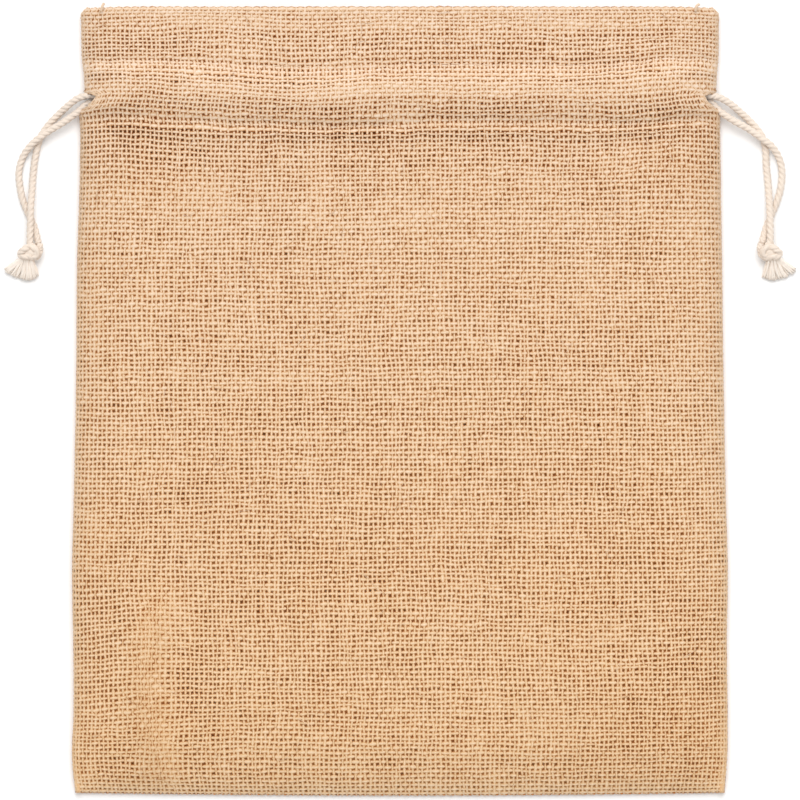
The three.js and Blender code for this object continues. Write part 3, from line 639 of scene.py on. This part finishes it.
# Wander of the crossings: own offset of each yarn, then drifts by size, reach and step of the seed
WARP_OFFSET = 0.05
WARP_DRIFTS = [(0.17, (0.5, 1.0), 1), (0.22, (2.5, 3.5), 6), (0.25, (16, 16), 2)]
WEFT_OFFSET = 0.04
WEFT_DRIFT = 0.15
WEFT_DRIFT_REACH = (1.1, 0.5)
ROW_WAVE = 0.28
ROW_WAVE_MORE = 0.67
ROW_WAVE_REACH = (11, 4)
ROW_WAVE_HEM = (96, 112)
STEADY_SIDE = 12
STEADY_END = 6
# Unevenness of a yarn in width and tone: its own, in long and short lumps along it, and by crossing
LONG_REACH = (0.4, 1.6)
SHORT_REACH = (0.3, 0.7)
CLOUD_REACH = (5, 5)
SLUB_FROM = 1.7
OWN_WIDTH = 0.015
SHORT_WIDTH = 0.07
SLUB_WIDTH = 0.08
UPPER_WIDER = 0.13
SPREAD_LIMITS = (0.7, 1.4)
WIDTH_LIMITS = (0.8, 1.7)
OWN_TONE = 0.012
LONG_TONE = 0.012
CLOUD_TONE = 0.008
CROSSING_TONE = 0.05
# Painted highlight on a yarn where it lies on top at a crossing
UPPER_HIGHLIGHT = 0.06
JUTE_SHADES = [
    (0.0, (116, 52, 12)), (0.16, (172, 114, 62)), (0.34, (212, 171, 127)), (0.56, (228, 196, 159)),
    (1.0, (241, 219, 195)),
]
JUTE_ROUGHNESS = 0.92
JUTE_BUMP = 0.6
JUTE_SHEEN = 0.05
STREAK_CONTRAST = 0.8
WARP_STREAKS = (3600, 1200, 3600)
WEFT_STREAKS = (1200, 3600, 3600)


def smooth_noise(shape, reach, seed):
    """Even noise with a spread of 1 whose lumps are about reach cells across: white noise through a bell
    filter, done by multiplying its waves by exp(-(reach * wave)^2 / 2)."""
    white = np.random.default_rng(seed).standard_normal(shape)
    waves = [2 * np.pi * np.fft.fftfreq(n) for n in shape]
    bell = np.exp(-((waves[0][:, None] * reach[0]) ** 2) / 2 - ((waves[1][None] * reach[1]) ** 2) / 2)
    soft = np.fft.ifft2(np.fft.fft2(white) * bell).real
    return soft / soft.std()


def column_shares():
    """Places of the warps across the bag, from 0 at the left seam to 1 at the right, evenly spaced by a
    mix of the distance over the rolled cloth and the distance straight across."""
    x = np.linspace(OUTLINE_LEFT[SPACING_ROW], OUTLINE_RIGHT[SPACING_ROW], MEASURE_PLACES)
    z = front_height(x, np.full_like(x, OUTLINE_ROWS[SPACING_ROW]))
    run = np.concatenate([[0], np.cumsum(np.hypot(np.diff(x), np.diff(z)))])
    mixed = ARC_SHARE * run + (1 - ARC_SHARE) * (x - x[0])
    places = np.interp((np.arange(WARPS) + 0.5) / WARPS * mixed[-1], mixed, x)
    return np.concatenate([[0], (places - x[0]) / (x[-1] - x[0]), [1]])


def row_places():
    """Places of the wefts up the bag, evenly spaced over the cloth's rise from the bottom fold, and
    closer in the heading."""
    y = np.linspace(-BAG_HALF_LENGTH, BAG_HALF_LENGTH, MEASURE_PLACES)
    z = table_curve(PROFILE_ROWS, PROFILE_FRONT, y)
    closer = 1 + HEADING_CLOSER * sum(ease(y[1:], *step) for step in CLOSER_STEPS)
    run = np.concatenate([[0], np.cumsum(np.hypot(np.diff(y), np.diff(z)) * closer)])
    places = np.interp((np.arange(WEFTS) + 0.5) / WEFTS * run[-1], run, y)
    return np.concatenate([[-BAG_HALF_LENGTH], places, [BAG_HALF_LENGTH]])


def crease_across(x, y):
    """Distance to the right of the crease, in its own widths, and its strength, which fades at its ends."""
    line = table_curve(CREASE_ROWS, CREASE_PLACES, y)
    return (x - line) / CREASE_WIDTH, ease(y, *CREASE_STARTS) * (1 - ease(y, *CREASE_ENDS))


def drawn_up(x, row):
    """How far the pull of the cords has raised a row of the hem: a bell across, near each side seam."""
    strength = HEM_WAVE * ease(row, *HEM_WAVE_STARTS) * (1 - HEM_WAVE_LOSS * ease(row, *HEM_WAVE_ENDS))
    return strength * np.exp(-(((np.abs(x) - HEM_WAVE_PLACE) / HEM_WAVE_WIDTH) ** 2))


def slope_softening(x, row):
    """The cloth sags below the channel's lower shoulder and stands off the corner under it: two bells."""
    from_line = row - LOWER_STITCH - stitch_wave(x)
    inside = np.clip((STITCH_SPAN - np.abs(x)) / SHOULDER_FADE, 0, 1)
    fill = CORNER_FILL * np.exp(-((from_line / CORNER_WIDTH - CORNER_PLACE) ** 2))
    sag = SHOULDER_SAG * np.exp(-((from_line / SHOULDER_WIDTH - SHOULDER_PLACE) ** 2))
    return inside * (fill - sag)


def cloth_places(seed, wander):
    """Places x and y of the crossings, [warp, weft] with one more at each end for the seam, fold or
    mouth. Each yarn has its own offset and drifts along its length, and the rows wave in the hem and dip
    left of the crease."""
    share, row = column_shares()[:, None], row_places()[None, :]
    left, right = outline(row)
    shape = (WARPS + 2, WEFTS + 2)
    own = np.random.default_rng(seed)
    inside = np.minimum(1, STEADY_SIDE * np.minimum(share, 1 - share))
    drift_x = WARP_OFFSET * own.standard_normal((shape[0], 1))
    for size, reach, step in WARP_DRIFTS:
        drift_x = drift_x + size * smooth_noise(shape, reach, seed + step)
    x = left + share * (right - left) + wander * inside * drift_x
    slit = np.interp(row, SLIT_ROWS, SLIT_DEPTHS)
    x = x + slit * (np.exp(-(x - left) / SLIT_PULL) - RIGHT_SLIT_SHARE * np.exp(-(right - x) / SLIT_PULL))
    ends = np.minimum(1, (BAG_HALF_LENGTH - np.abs(row)) / STEADY_END)
    drift_y = WEFT_OFFSET * own.standard_normal((1, shape[1]))
    drift_y = drift_y + WEFT_DRIFT * smooth_noise(shape, WEFT_DRIFT_REACH, seed + 3)
    wave = ROW_WAVE + ROW_WAVE_MORE * ease(row, *ROW_WAVE_HEM)
    waves = wave * smooth_noise(shape, ROW_WAVE_REACH, seed + 4) * inside
    across, strength = crease_across(x, row)
    x = x - CREASE_GATHER * strength * across * np.exp(-(across**2))
    dip = -CREASE_DIP * strength * np.clip(-across - DIP_FROM, 0, DIP_MOST) * ease(row, *DIP_ROWS)
    y = row + wander * ends * (drift_y + waves) + ends * (dip + drawn_up(x, row))
    near = 1 - ease(row, -BAG_HALF_LENGTH, -BAG_HALF_LENGTH + BOTTOM_BOW_REACH)
    return x, y + BOTTOM_CORNER_RISE * near * (x / BAG_HALF_LENGTH) ** 2, slit


def soft_patches(patches, x, y):
    """Sum of soft patches: each a bell across and up the cloth."""
    change = np.zeros(x.shape)
    for middle, height, half_across, half_up, amount in patches:
        change += amount * np.exp(-(((x - middle) / half_across) ** 2) - ((y - height) / half_up) ** 2)
    return change


def surface_normal(places):
    """Direction out of the cloth, to the upper side: square to the two ways of the grid."""
    return unit(np.cross(np.gradient(places, axis=0), np.gradient(places, axis=1)))


def yarn_rings(centre, along_axis, up, height, half_width, section):
    """Tubes of one set of yarns: each section stands square to its yarn, its corners at shares of the
    half width across and of the half thickness up, round the crossing's place raised by its height. None
    goes into the floor."""
    middle = centre + height[..., None] * up
    ahead = unit(np.gradient(middle, axis=along_axis))
    across = unit(np.cross(up, ahead))
    lift = np.cross(ahead, across)
    corners = (
        middle[:, :, None]
        + (half_width[..., None] * section[:, 0])[..., None] * across[:, :, None]
        + (YARN_HALF_THICKNESS * section[:, 1])[:, None] * lift[:, :, None]
    )
    corners[..., 2] = np.maximum(corners[..., 2], LOWEST)
    return corners if along_axis == 1 else corners.swapaxes(0, 1)


# Sections of a yarn by corner: across, up, change of tone (painted shade on the sides, painted
# highlight on top), and 1 where the corner looks into the bag and takes the painted glow
DIAMOND = np.array([(1.08, -0.7, -0.6, 0), (0, 1, 0.09, 0), (-1.08, -0.7, -0.6, 0), (0, -1.2, -0.3, 1)])
BACK_DIAMOND = np.array(
    [(1.04, 0.3, -0.45, 0.25), (0, 1, 0.05, 1), (-1.04, 0.3, -0.45, 0.25), (0, -1.1, 0.08, 0)]
)
INNER_ROOF = np.array([(1, -0.6, -0.1, 0.2), (0, 1, 0.0, 0.2), (-1, -0.6, -0.1, 0.2)])
CRISP_CORNERS = (0, 2)


def yarn_set(places, seed, section, widths, tone_and_shade_shift, names, edge_shade=0.0):
    """Warps and wefts of one layer of cloth on a grid of crossings. At a crossing the warp is up where
    the sum of the two counts is even, and the weft is up where it is odd. A yarn is wide where its
    neighbours leave it space and where it is lumpy. Its outer side has a painted highlight, and its edges
    a painted shade, deepened by the share edge_shade."""
    shape = places.shape[:2]
    up = surface_normal(places)
    own = np.random.default_rng(seed)
    over = 1 - 2 * ((np.arange(shape[0])[:, None] + np.arange(shape[1])[None]) % 2)
    pieces = []
    for axis, crimp, half, base_tone, factor, name, material in (
        (1, CRIMP_WARP, WARP_HALF_WIDTH, WARP_TONE, widths[0], names[0], jute_warp),
        (0, -CRIMP_WEFT, WEFT_HALF_WIDTH, WEFT_TONE, widths[1], names[1], jute_weft),
    ):
        count = (shape[0], 1) if axis == 1 else (1, shape[1])
        long_reach = LONG_REACH if axis == 1 else LONG_REACH[::-1]
        short_reach = SHORT_REACH if axis == 1 else SHORT_REACH[::-1]
        upper = over * np.sign(crimp)
        slub = np.maximum(0, smooth_noise(shape, long_reach, seed + 5 + axis) - SLUB_FROM)
        uneven = 1 + OWN_WIDTH * own.standard_normal(count)
        uneven = uneven + SHORT_WIDTH * smooth_noise(shape, short_reach, seed + 7 + axis) + SLUB_WIDTH * slub
        spacing = np.abs(np.gradient(places[..., 1 - axis], axis=1 - axis))
        spread = np.clip(spacing / np.median(spacing, axis=axis, keepdims=True), *SPREAD_LIMITS)
        half_width = half * factor * spread * np.clip(uneven, *WIDTH_LIMITS) * (1 + UPPER_WIDER * upper)
        tone = (
            base_tone
            + OWN_TONE * own.standard_normal(count)
            + LONG_TONE * smooth_noise(shape, long_reach, seed + 9 + axis)
            + CLOUD_TONE * smooth_noise(shape, CLOUD_REACH, seed + 11)
            + CROSSING_TONE * own.standard_normal(shape)
            + UPPER_HIGHLIGHT * upper
            + tone_and_shade_shift
        )
        keep = (slice(1, -1), slice(None)) if axis == 1 else (slice(None), slice(1, -1))
        height = crimp * over
        rings = yarn_rings(places[keep], axis, up[keep], height[keep], half_width[keep], section)
        # Strength of the painted shade on the yarn's edges
        depth = 1 + edge_shade + 0 * tone
        tone, depth = (a[keep] if axis == 1 else a[keep].T for a in (tone, depth))
        # Painted light by corner: tone holds the painted shade and highlight, inside the painted glow
        marks = {"tone": tone[..., None] + depth[..., None] * section[:, 2], "inside": section[:, 3]}
        pieces.append(tube_piece(name, rings, material, "bag_body", CRISP_CORNERS, **marks))
    return pieces


def jute_material(name, streak_scale):
    """Jute by the tone stored on each yarn, from brown to straw, with fine streaks along the yarn; the tone
    holds painted shade on the yarns' sides and a painted highlight on their tops. The sides that look into
    the bag are painted a strong orange, painted light that stands in for light that has gone through many
    fibres."""
    material, shader, streaks = fibre_material(
        name, "object", streak_scale, JUTE_ROUGHNESS, JUTE_BUMP, JUTE_SHEEN
    )
    nodes, links = material.node_tree.nodes, material.node_tree.links
    tone = nodes.new("ShaderNodeAttribute")
    tone.attribute_name = "tone"
    mix = nodes.new("ShaderNodeMath")
    mix.operation = "MULTIPLY_ADD"
    mix.inputs[1].default_value = STREAK_CONTRAST
    links.new(streaks, mix.inputs[0])
    shift = nodes.new("ShaderNodeMath")
    shift.operation = "SUBTRACT"
    shift.inputs[1].default_value = STREAK_CONTRAST / 2
    links.new(tone.outputs["Fac"], shift.inputs[0])
    links.new(shift.outputs["Value"], mix.inputs[2])
    colours = [(place, linear(*shade)) for place, shade in JUTE_SHADES]
    # Painted light: the corners marked inside take the strong orange glow
    inside = nodes.new("ShaderNodeAttribute")
    inside.attribute_name = "inside"
    colour = nodes.new("ShaderNodeMix")
    colour.data_type = "RGBA"
    colour.inputs["B"].default_value = linear(*INSIDE_GLOW_COLOUR)
    links.new(inside.outputs["Fac"], colour.inputs["Factor"])
    links.new(colour_ramp(material, mix.outputs["Value"], colours), colour.inputs["A"])
    height = nodes.new("ShaderNodeSeparateXYZ")
    links.new(nodes.new("ShaderNodeTexCoord").outputs["Object"], height.inputs["Vector"])
    share = nodes.new("ShaderNodeMapRange")
    share.inputs["From Min"].default_value = -BAG_HALF_LENGTH * MM
    share.inputs["From Max"].default_value = BAG_HALF_LENGTH * MM
    links.new(height.outputs["Y"], share.inputs["Value"])
    tint = nodes.new("ShaderNodeMix")
    tint.data_type = "RGBA"
    tint.inputs["A"].default_value = BOTTOM_TINT
    tint.inputs["B"].default_value = MOUTH_TINT
    links.new(share.outputs["Result"], tint.inputs["Factor"])
    tinted = nodes.new("ShaderNodeMix")
    tinted.data_type = "RGBA"
    tinted.blend_type = "MULTIPLY"
    tinted.inputs["Factor"].default_value = 1.0
    links.new(colour.outputs["Result"], tinted.inputs["A"])
    links.new(tint.outputs["Result"], tinted.inputs["B"])
    links.new(tinted.outputs["Result"], shader.inputs["Base Color"])
    return material


jute_warp = jute_material("jute_warp", WARP_STREAKS)
jute_weft = jute_material("jute_weft", WEFT_STREAKS)

# Front of the cloth: the seeds of its yarns' wander, the lips of the slits, and the crease's narrow ridge
FRONT_SEED = 20
FRONT_YARN_SEED = 30
FRONT_WANDER = 1.0
SLIT_LIP_DROP = 0.5
RIDGE_SHARE = 0.5
# Widths of the front's yarns: their base, by row, by chance, at the bottom edge, crease and hem
WARP_BASE = 0.59
WARP_BAND_SHARE = 0.4
WEFT_BASE = 0.04
UNEVEN_HEM = 0.07
UNEVEN_HEM_REACH = (6, 1.2)
UNEVEN_HEM_STARTS = (92, 108)
UNEVEN_HEM_SEED = 24
UNEVEN_CLOTH = 0.01
UNEVEN_CLOTH_REACH = (4, 1)
UNEVEN_CLOTH_SEED = 26
BOTTOM_EDGE = (-150, -142)
BOTTOM_OPENER = 0.06
HEM_STARTS = (90, 104)
CREASE_CLOSER = (0.25, 0.4)
HEM_CLOSER = (0.06, 0.07)
# Tones of the front: patches by x, y, half width, half height and change (the first a painted highlight
# on the channel's upper half, the last a painted shade below it), edges, crease (painted shade) and corners
TONE_AND_LIGHT_PATCHES = [(0, 123.5, np.inf, 6, 0.07), (117, -42, 8, 32, 0.06), (0, 85, np.inf, 11, -0.04)]
BOTTOM_PALER = 0.12
CREASE_SHADE = 0.1
CORNER_DARKER = 0.03
CORNER_COLUMNS = (60, 120)
CORNER_ROWS = (-140, -60)
SIDE_EDGE_REACH = 1.2
MOUTH_EDGE_REACH = 0.7
# Painted shade on the yarns' edges in the gaps: its base, more in the hem, less on the crease and at the
# edges
GAP_SHADE = 0.03
HEM_GAP_SHADE = 0.14
CREASE_GAP_LESS_SHADE = 0.2
EDGE_GAP_LESS_SHADE = 0.8

x, y, slit = cloth_places(FRONT_SEED, FRONT_WANDER)
flat_y = row_places()[None, :] + 0 * x
front_z = front_height(x, flat_y) - CLOTH / 2 + slope_softening(x, flat_y)
at_slit = np.broadcast_to(slit > SLIT_OPEN, x[:1].shape)[0]
front_z[0] = np.where(at_slit, front_z[0] - SLIT_LIP_DROP, SEAM_MIDDLE)
front_z[-1] = np.where(at_slit, front_z[-1] - SLIT_LIP_DROP, SEAM_MIDDLE)
front_z[:, 0] = FOLD_MIDDLE
front_z[:, -1] -= CLOTH / 2
front = np.stack([x, y, front_z], axis=-1)
across, strength = crease_across(x, flat_y)
crease = strength * np.exp(-(across**2))
front[..., 2] += CREASE_RIDGE * np.exp(-((across / RIDGE_SHARE) ** 2)) * strength

band = table_curve(BAND_ROWS, BAND_WIDTHS, flat_y)
hem = ease(flat_y, *HEM_STARTS)
bottom_edge = 1 - ease(flat_y, *BOTTOM_EDGE)
hem_noise = ease(flat_y, *UNEVEN_HEM_STARTS) * smooth_noise(x.shape, UNEVEN_HEM_REACH, UNEVEN_HEM_SEED)
cloth_noise = smooth_noise(x.shape, UNEVEN_CLOTH_REACH, UNEVEN_CLOTH_SEED)
patches = soft_patches(PATCHES, x, flat_y) + UNEVEN_HEM * hem_noise + UNEVEN_CLOTH * cloth_noise
patches = patches - BOTTOM_OPENER * bottom_edge
warp_widths = WARP_BASE + WARP_BAND_SHARE * band + patches + CREASE_CLOSER[0] * crease + HEM_CLOSER[0] * hem
weft_widths = WEFT_BASE + band + patches + CREASE_CLOSER[1] * crease + HEM_CLOSER[1] * hem

bottom_corners = ease(np.abs(x), *CORNER_COLUMNS) * (1 - ease(flat_y, *CORNER_ROWS))
# Painted light in the front's tones: a highlight on the channel's upper half, shade below it and in the
# crease
tone_and_shade_shift = (
    BOTTOM_PALER * bottom_edge
    + soft_patches(TONE_AND_LIGHT_PATCHES, x, flat_y)
    - CREASE_SHADE * crease
    - CORNER_DARKER * bottom_corners
)
side_edge = np.exp(-np.minimum(x - x[:1], x[-1:] - x) / SIDE_EDGE_REACH)
mouth_edge = np.exp(-(BAG_HALF_LENGTH - flat_y) / MOUTH_EDGE_REACH)
# The last argument sets the painted shade on the yarns' edges
front_pieces = yarn_set(
    front,
    FRONT_YARN_SEED,
    DIAMOND,
    (warp_widths, weft_widths),
    tone_and_shade_shift,
    ("front_warps", "front_wefts"),
    GAP_SHADE
    + HEM_GAP_SHADE * hem
    - CREASE_GAP_LESS_SHADE * crease
    - EDGE_GAP_LESS_SHADE * np.maximum(side_edge, mouth_edge),
)

# Back of the cloth: flat on the surface, in a steadier weave, joined to the front at seams and fold
BACK_SEED = 60
BACK_YARN_SEED = 70
BACK_WANDER = 0.6
BACK_WIDTHS = (1.06, 1.06)

back_x, back_y, _ = cloth_places(BACK_SEED, BACK_WANDER)
back_x[[0, -1]], back_y[[0, -1]] = x[[0, -1]], y[[0, -1]]
back_y[:, 0] = y[:, 0]
back_z = np.full_like(back_x, CLOTH / 2 + LOWEST)
back_z[[0, -1]] = SEAM_MIDDLE
back_z[:, 0] = FOLD_MIDDLE
back_z[:, -1] += CLOTH / 2
back = np.stack([back_x, back_y, back_z], axis=-1)
back_pieces = yarn_set(back, BACK_YARN_SEED, BACK_DIAMOND, BACK_WIDTHS, 0.0, ("back_warps", "back_wefts"))


# Side seams: the allowance of both layers is turned in and makes a soft roll of cloth just inside the
# bag's edge. It is thinner at the slit, where a stretch of the seam is left open for the cords.
SEAM_ROLL_IN = 1.0
SEAM_ROLL_HEIGHT = 2.5
SEAM_ROLL_RADIUS = 0.9
SEAM_ROLL_CORNERS = 6
SEAM_ROLL_TONE = 0.42
SLIT_THINNER = 0.5
SLIT_THINS = (0.5, 3)

roll_x = np.stack([x[0] + SEAM_ROLL_IN, x[-1] - SEAM_ROLL_IN])
roll_paths = np.stack([roll_x, y[[0, -1]], np.full_like(roll_x, SEAM_ROLL_HEIGHT)], axis=-1)
roll_radius = SEAM_ROLL_RADIUS * (1 - SLIT_THINNER * ease(slit, *SLIT_THINS) + 0 * roll_x)
rings = round_rings(roll_paths, roll_radius, SEAM_ROLL_CORNERS)
seam_piece = tube_piece("side_seams", rings, jute_warp, "bag_body", tone=SEAM_ROLL_TONE)


# Hem: at the mouth the cloth is turned in, and its second layer lies behind the heading and, past the
# channel's space, hangs down to just below the lower stitching. It is the same cloth, front and back.
HEM_EDGE = 103.6
HEM_TOP = 149.4
HEM_ROWS = 26
HEM_SIDE_INSET = 4
CHANNEL_SIDE_POCKET = 11
HEM_MIDDLE = 1.5 * CLOTH
HEM_WANDER = 0.3
HEM_X_REACH = (4, 4)
HEM_Y_REACH = (6, 3)
HEM_WIDTHS = (1.0, 1.0)
FRONT_HEM_SEED = 90
FRONT_HEM_YARN_SEED = 95
# Painted shade: the inner layers are darker, so that the gaps in the heading look as dark as those below
FRONT_HEM_SHADE = -0.3
BACK_HEM_SEED = 110
BACK_HEM_YARN_SEED = 115
BACK_HEM_SHADE = -0.2


def hem_places(seed):
    """Places x and y of the inner layer's crossings, set in from the side seams, by more at the channel."""
    row = np.linspace(HEM_EDGE, HEM_TOP, HEM_ROWS)[None, :]
    share = column_shares()[:, None]
    left, right = outline(row)
    inset = HEM_SIDE_INSET + CHANNEL_SIDE_POCKET * channel_open(0, row)
    shape = (WARPS + 2, HEM_ROWS)
    x = left + inset + share * (right - left - 2 * inset)
    x = x + HEM_WANDER * smooth_noise(shape, HEM_X_REACH, seed)
    return x, row + HEM_WANDER * smooth_noise(shape, HEM_Y_REACH, seed + 1)


hem_x, hem_y = hem_places(FRONT_HEM_SEED)
hem_z = front_height(hem_x, hem_y) - HEM_MIDDLE - CHANNEL_DEPTH * channel_open(hem_x, hem_y)
front_hem_pieces = yarn_set(
    np.stack([hem_x, hem_y, hem_z], axis=-1),
    FRONT_HEM_YARN_SEED,
    INNER_ROOF,
    HEM_WIDTHS,
    FRONT_HEM_SHADE,
    ("front_hem_warps", "front_hem_wefts"),
)
hem_x, hem_y = hem_places(BACK_HEM_SEED)
hem_z = HEM_MIDDLE + CHANNEL_DEPTH * channel_open(hem_x, hem_y)
back_hem_pieces = yarn_set(
    np.stack([hem_x, hem_y, hem_z], axis=-1),
    BACK_HEM_YARN_SEED,
    INNER_ROOF,
    HEM_WIDTHS,
    BACK_HEM_SHADE,
    ("back_hem_warps", "back_hem_wefts"),
)


# Stitching: two lines of straight stitches in thread of the cloth's own colour, through the front hem and
# the back hem. They hold the turned-in layer and leave the channel for the cords between them.
STITCH_LENGTH = 3.4
STITCH_PITCH = 4.0
STITCH_END = 113
STITCH_STATIONS = 7
THREAD_RADIUS = 0.24
THREAD_CORNERS = 6
THREAD_TONE = 0.6
STITCH_SINK = 0.45
STITCH_SINK_POWER = 5

stitch_middle = np.arange(-STITCH_END, STITCH_END, STITCH_PITCH) + STITCH_PITCH / 2
along = np.linspace(-1, 1, STITCH_STATIONS)[None, :]
stitch_x = stitch_middle[:, None] + STITCH_LENGTH / 2 * along
sunk = STITCH_SINK * np.abs(along) ** STITCH_SINK_POWER + 0 * stitch_x
front_stitches = []
back_stitches = []
for line in (LOWER_STITCH, UPPER_STITCH):
    row = line + stitch_wave(stitch_x)
    stitch_y = row + drawn_up(stitch_x, row)
    stitch_z = front_height(stitch_x, row) - CLOTH / 4 - sunk
    front_stitches.append(np.stack([stitch_x, stitch_y, stitch_z], axis=-1))
    back_stitches.append(np.stack([stitch_x, stitch_y, CLOTH / 4 + sunk], axis=-1))
for name, lines in (("front_stitches", front_stitches), ("back_stitches", back_stitches)):
    paths = np.concatenate(lines)
    rings = round_rings(paths, np.full(paths.shape[:2], THREAD_RADIUS), THREAD_CORNERS)
    tube_piece(name, rings, jute_weft, "bag_body", tone=THREAD_TONE)


# Loose fibres: jute is a coarse bast fibre, and hairs work out of the yarns and lie over the cloth. Two
# short ends of weft stand above the mouth's edge.
HAIRS = 320
HAIR_STATIONS = 8
HAIR_CORNERS = 3
HAIR_LENGTHS = (2.0, 7.5)
HAIR_RADII = (0.05, 0.1)
# Fields in which the hairs start and stay, their bend, lift and sink, and their pale and dark tones
HAIR_STARTS = (118, 147)
HAIR_LIMITS = (120, 149)
HAIR_BEND = 0.9
HAIR_LIFTS = (0.1, 0.6)
HAIR_LIFT_POWER = 3
HAIR_SINK = 0.25
HAIR_ARCH_POWER = 0.8
HAIR_TAPER = 0.5
HAIR_TONES = (0.85, 0.2)
PALE_HAIRS = 0.75
HAIR_SEED = 130
# The two ends at the mouth's corners, each by its points
WEFT_ENDS = [
    [(-113.6, 148.6, 11.6), (-113.3, 149.9, 12.2), (-112.9, 150.9, 12.3), (-112.5, 151.5, 12.1)],
    [(112.3, 148.6, 11.6), (112.5, 149.9, 12.2), (113.0, 150.7, 12.3), (113.8, 151.2, 12.0)],
]
WEFT_END_RADIUS = 0.5
WEFT_END_STATIONS = 12

own = np.random.default_rng(HAIR_SEED)
start_x = own.uniform(-HAIR_STARTS[0], HAIR_STARTS[0], HAIRS)
start_y = own.uniform(-HAIR_STARTS[1], HAIR_STARTS[1], HAIRS)
heading = own.uniform(0, 2 * np.pi, HAIRS)
hair_length = HAIR_LENGTHS[0] + (HAIR_LENGTHS[1] - HAIR_LENGTHS[0]) * own.random(HAIRS) ** 2
bend = own.normal(0, HAIR_BEND, HAIRS)
hair_lift = HAIR_LIFTS[0] + HAIR_LIFTS[1] * own.random(HAIRS) ** HAIR_LIFT_POWER
run = np.linspace(0, 1, HAIR_STATIONS)[None, :]
turned = heading[:, None] + bend[:, None] * run
step = hair_length[:, None] / HAIR_STATIONS
hair_x = start_x[:, None] + np.cumsum(step * np.cos(turned), axis=1)
hair_x = np.clip(hair_x, -HAIR_LIMITS[0], HAIR_LIMITS[0])
hair_y = start_y[:, None] + np.cumsum(step * np.sin(turned), axis=1)
hair_y = np.clip(hair_y, -HAIR_LIMITS[1], HAIR_LIMITS[1])
arch = np.sin(np.pi * run**HAIR_ARCH_POWER)
hair_z = front_height(hair_x, hair_y) - HAIR_SINK + hair_lift[:, None] * arch
paths = np.stack([hair_x, hair_y, hair_z], axis=-1)
thin = own.uniform(*HAIR_RADII, HAIRS)[:, None] * (1 - HAIR_TAPER * run**2)
rings = round_rings(paths, thin, HAIR_CORNERS)
hair_tone = np.where(own.random(HAIRS) < PALE_HAIRS, *HAIR_TONES)[:, None, None]
hair_pieces = [tube_piece("loose_hairs", rings, jute_weft, "bag_body", tone=hair_tone)]
paths = np.stack([smooth_path(points, WEFT_END_STATIONS) for points in WEFT_ENDS])
rings = round_rings(paths, np.full(paths.shape[:2], WEFT_END_RADIUS), THREAD_CORNERS)
hair_pieces.append(tube_piece("weft_ends", rings, jute_weft, "bag_body", tone=THREAD_TONE))


# Floor and light: a plain white surface under soft light from all round. A broad lamp beyond the mouth
# leaves the slope under the channel a little darker.
FLOOR_SIZE = 6.0
FLOOR_COLOUR = (0.93, 0.93, 0.93, 1)
FLOOR_ROUGHNESS = 0.9
ROUND_LIGHT = 0.74
LAMP_POWER = 25
LAMP_SIZE = 1.3
LAMP_PLACE = (0.02, 0.95, 1.6)
LAMP_TILT = (-0.52, 0, 0)

floor_mesh = bpy.data.meshes.new("floor")
half = FLOOR_SIZE / 2
floor_corners = [(-half, -half, 0), (half, -half, 0), (half, half, 0), (-half, half, 0)]
floor_mesh.from_pydata(floor_corners, [], [(0, 1, 2, 3)])
floor = bpy.data.objects.new("floor", floor_mesh)
bpy.context.scene.collection.objects.link(floor)
floor_paint = bpy.data.materials.new("floor")
floor_paint.use_nodes = True
floor_shader = floor_paint.node_tree.nodes["Principled BSDF"]
floor_shader.inputs["Base Color"].default_value = FLOOR_COLOUR
floor_shader.inputs["Roughness"].default_value = FLOOR_ROUGHNESS
floor_mesh.materials.append(floor_paint)

world = bpy.data.worlds.new("studio")
world.use_nodes = True
world.node_tree.nodes["Background"].inputs["Color"].default_value = (1, 1, 1, 1)
world.node_tree.nodes["Background"].inputs["Strength"].default_value = ROUND_LIGHT
bpy.context.scene.world = world
lamp_light = bpy.data.lights.new("softbox", "AREA")
lamp_light.energy = LAMP_POWER
lamp_light.size = LAMP_SIZE
lamp = bpy.data.objects.new("softbox", lamp_light)
lamp.location = LAMP_PLACE
lamp.rotation_euler = LAMP_TILT
bpy.context.scene.collection.objects.link(lamp)
bpy.context.scene.view_settings.view_transform = "Standard"
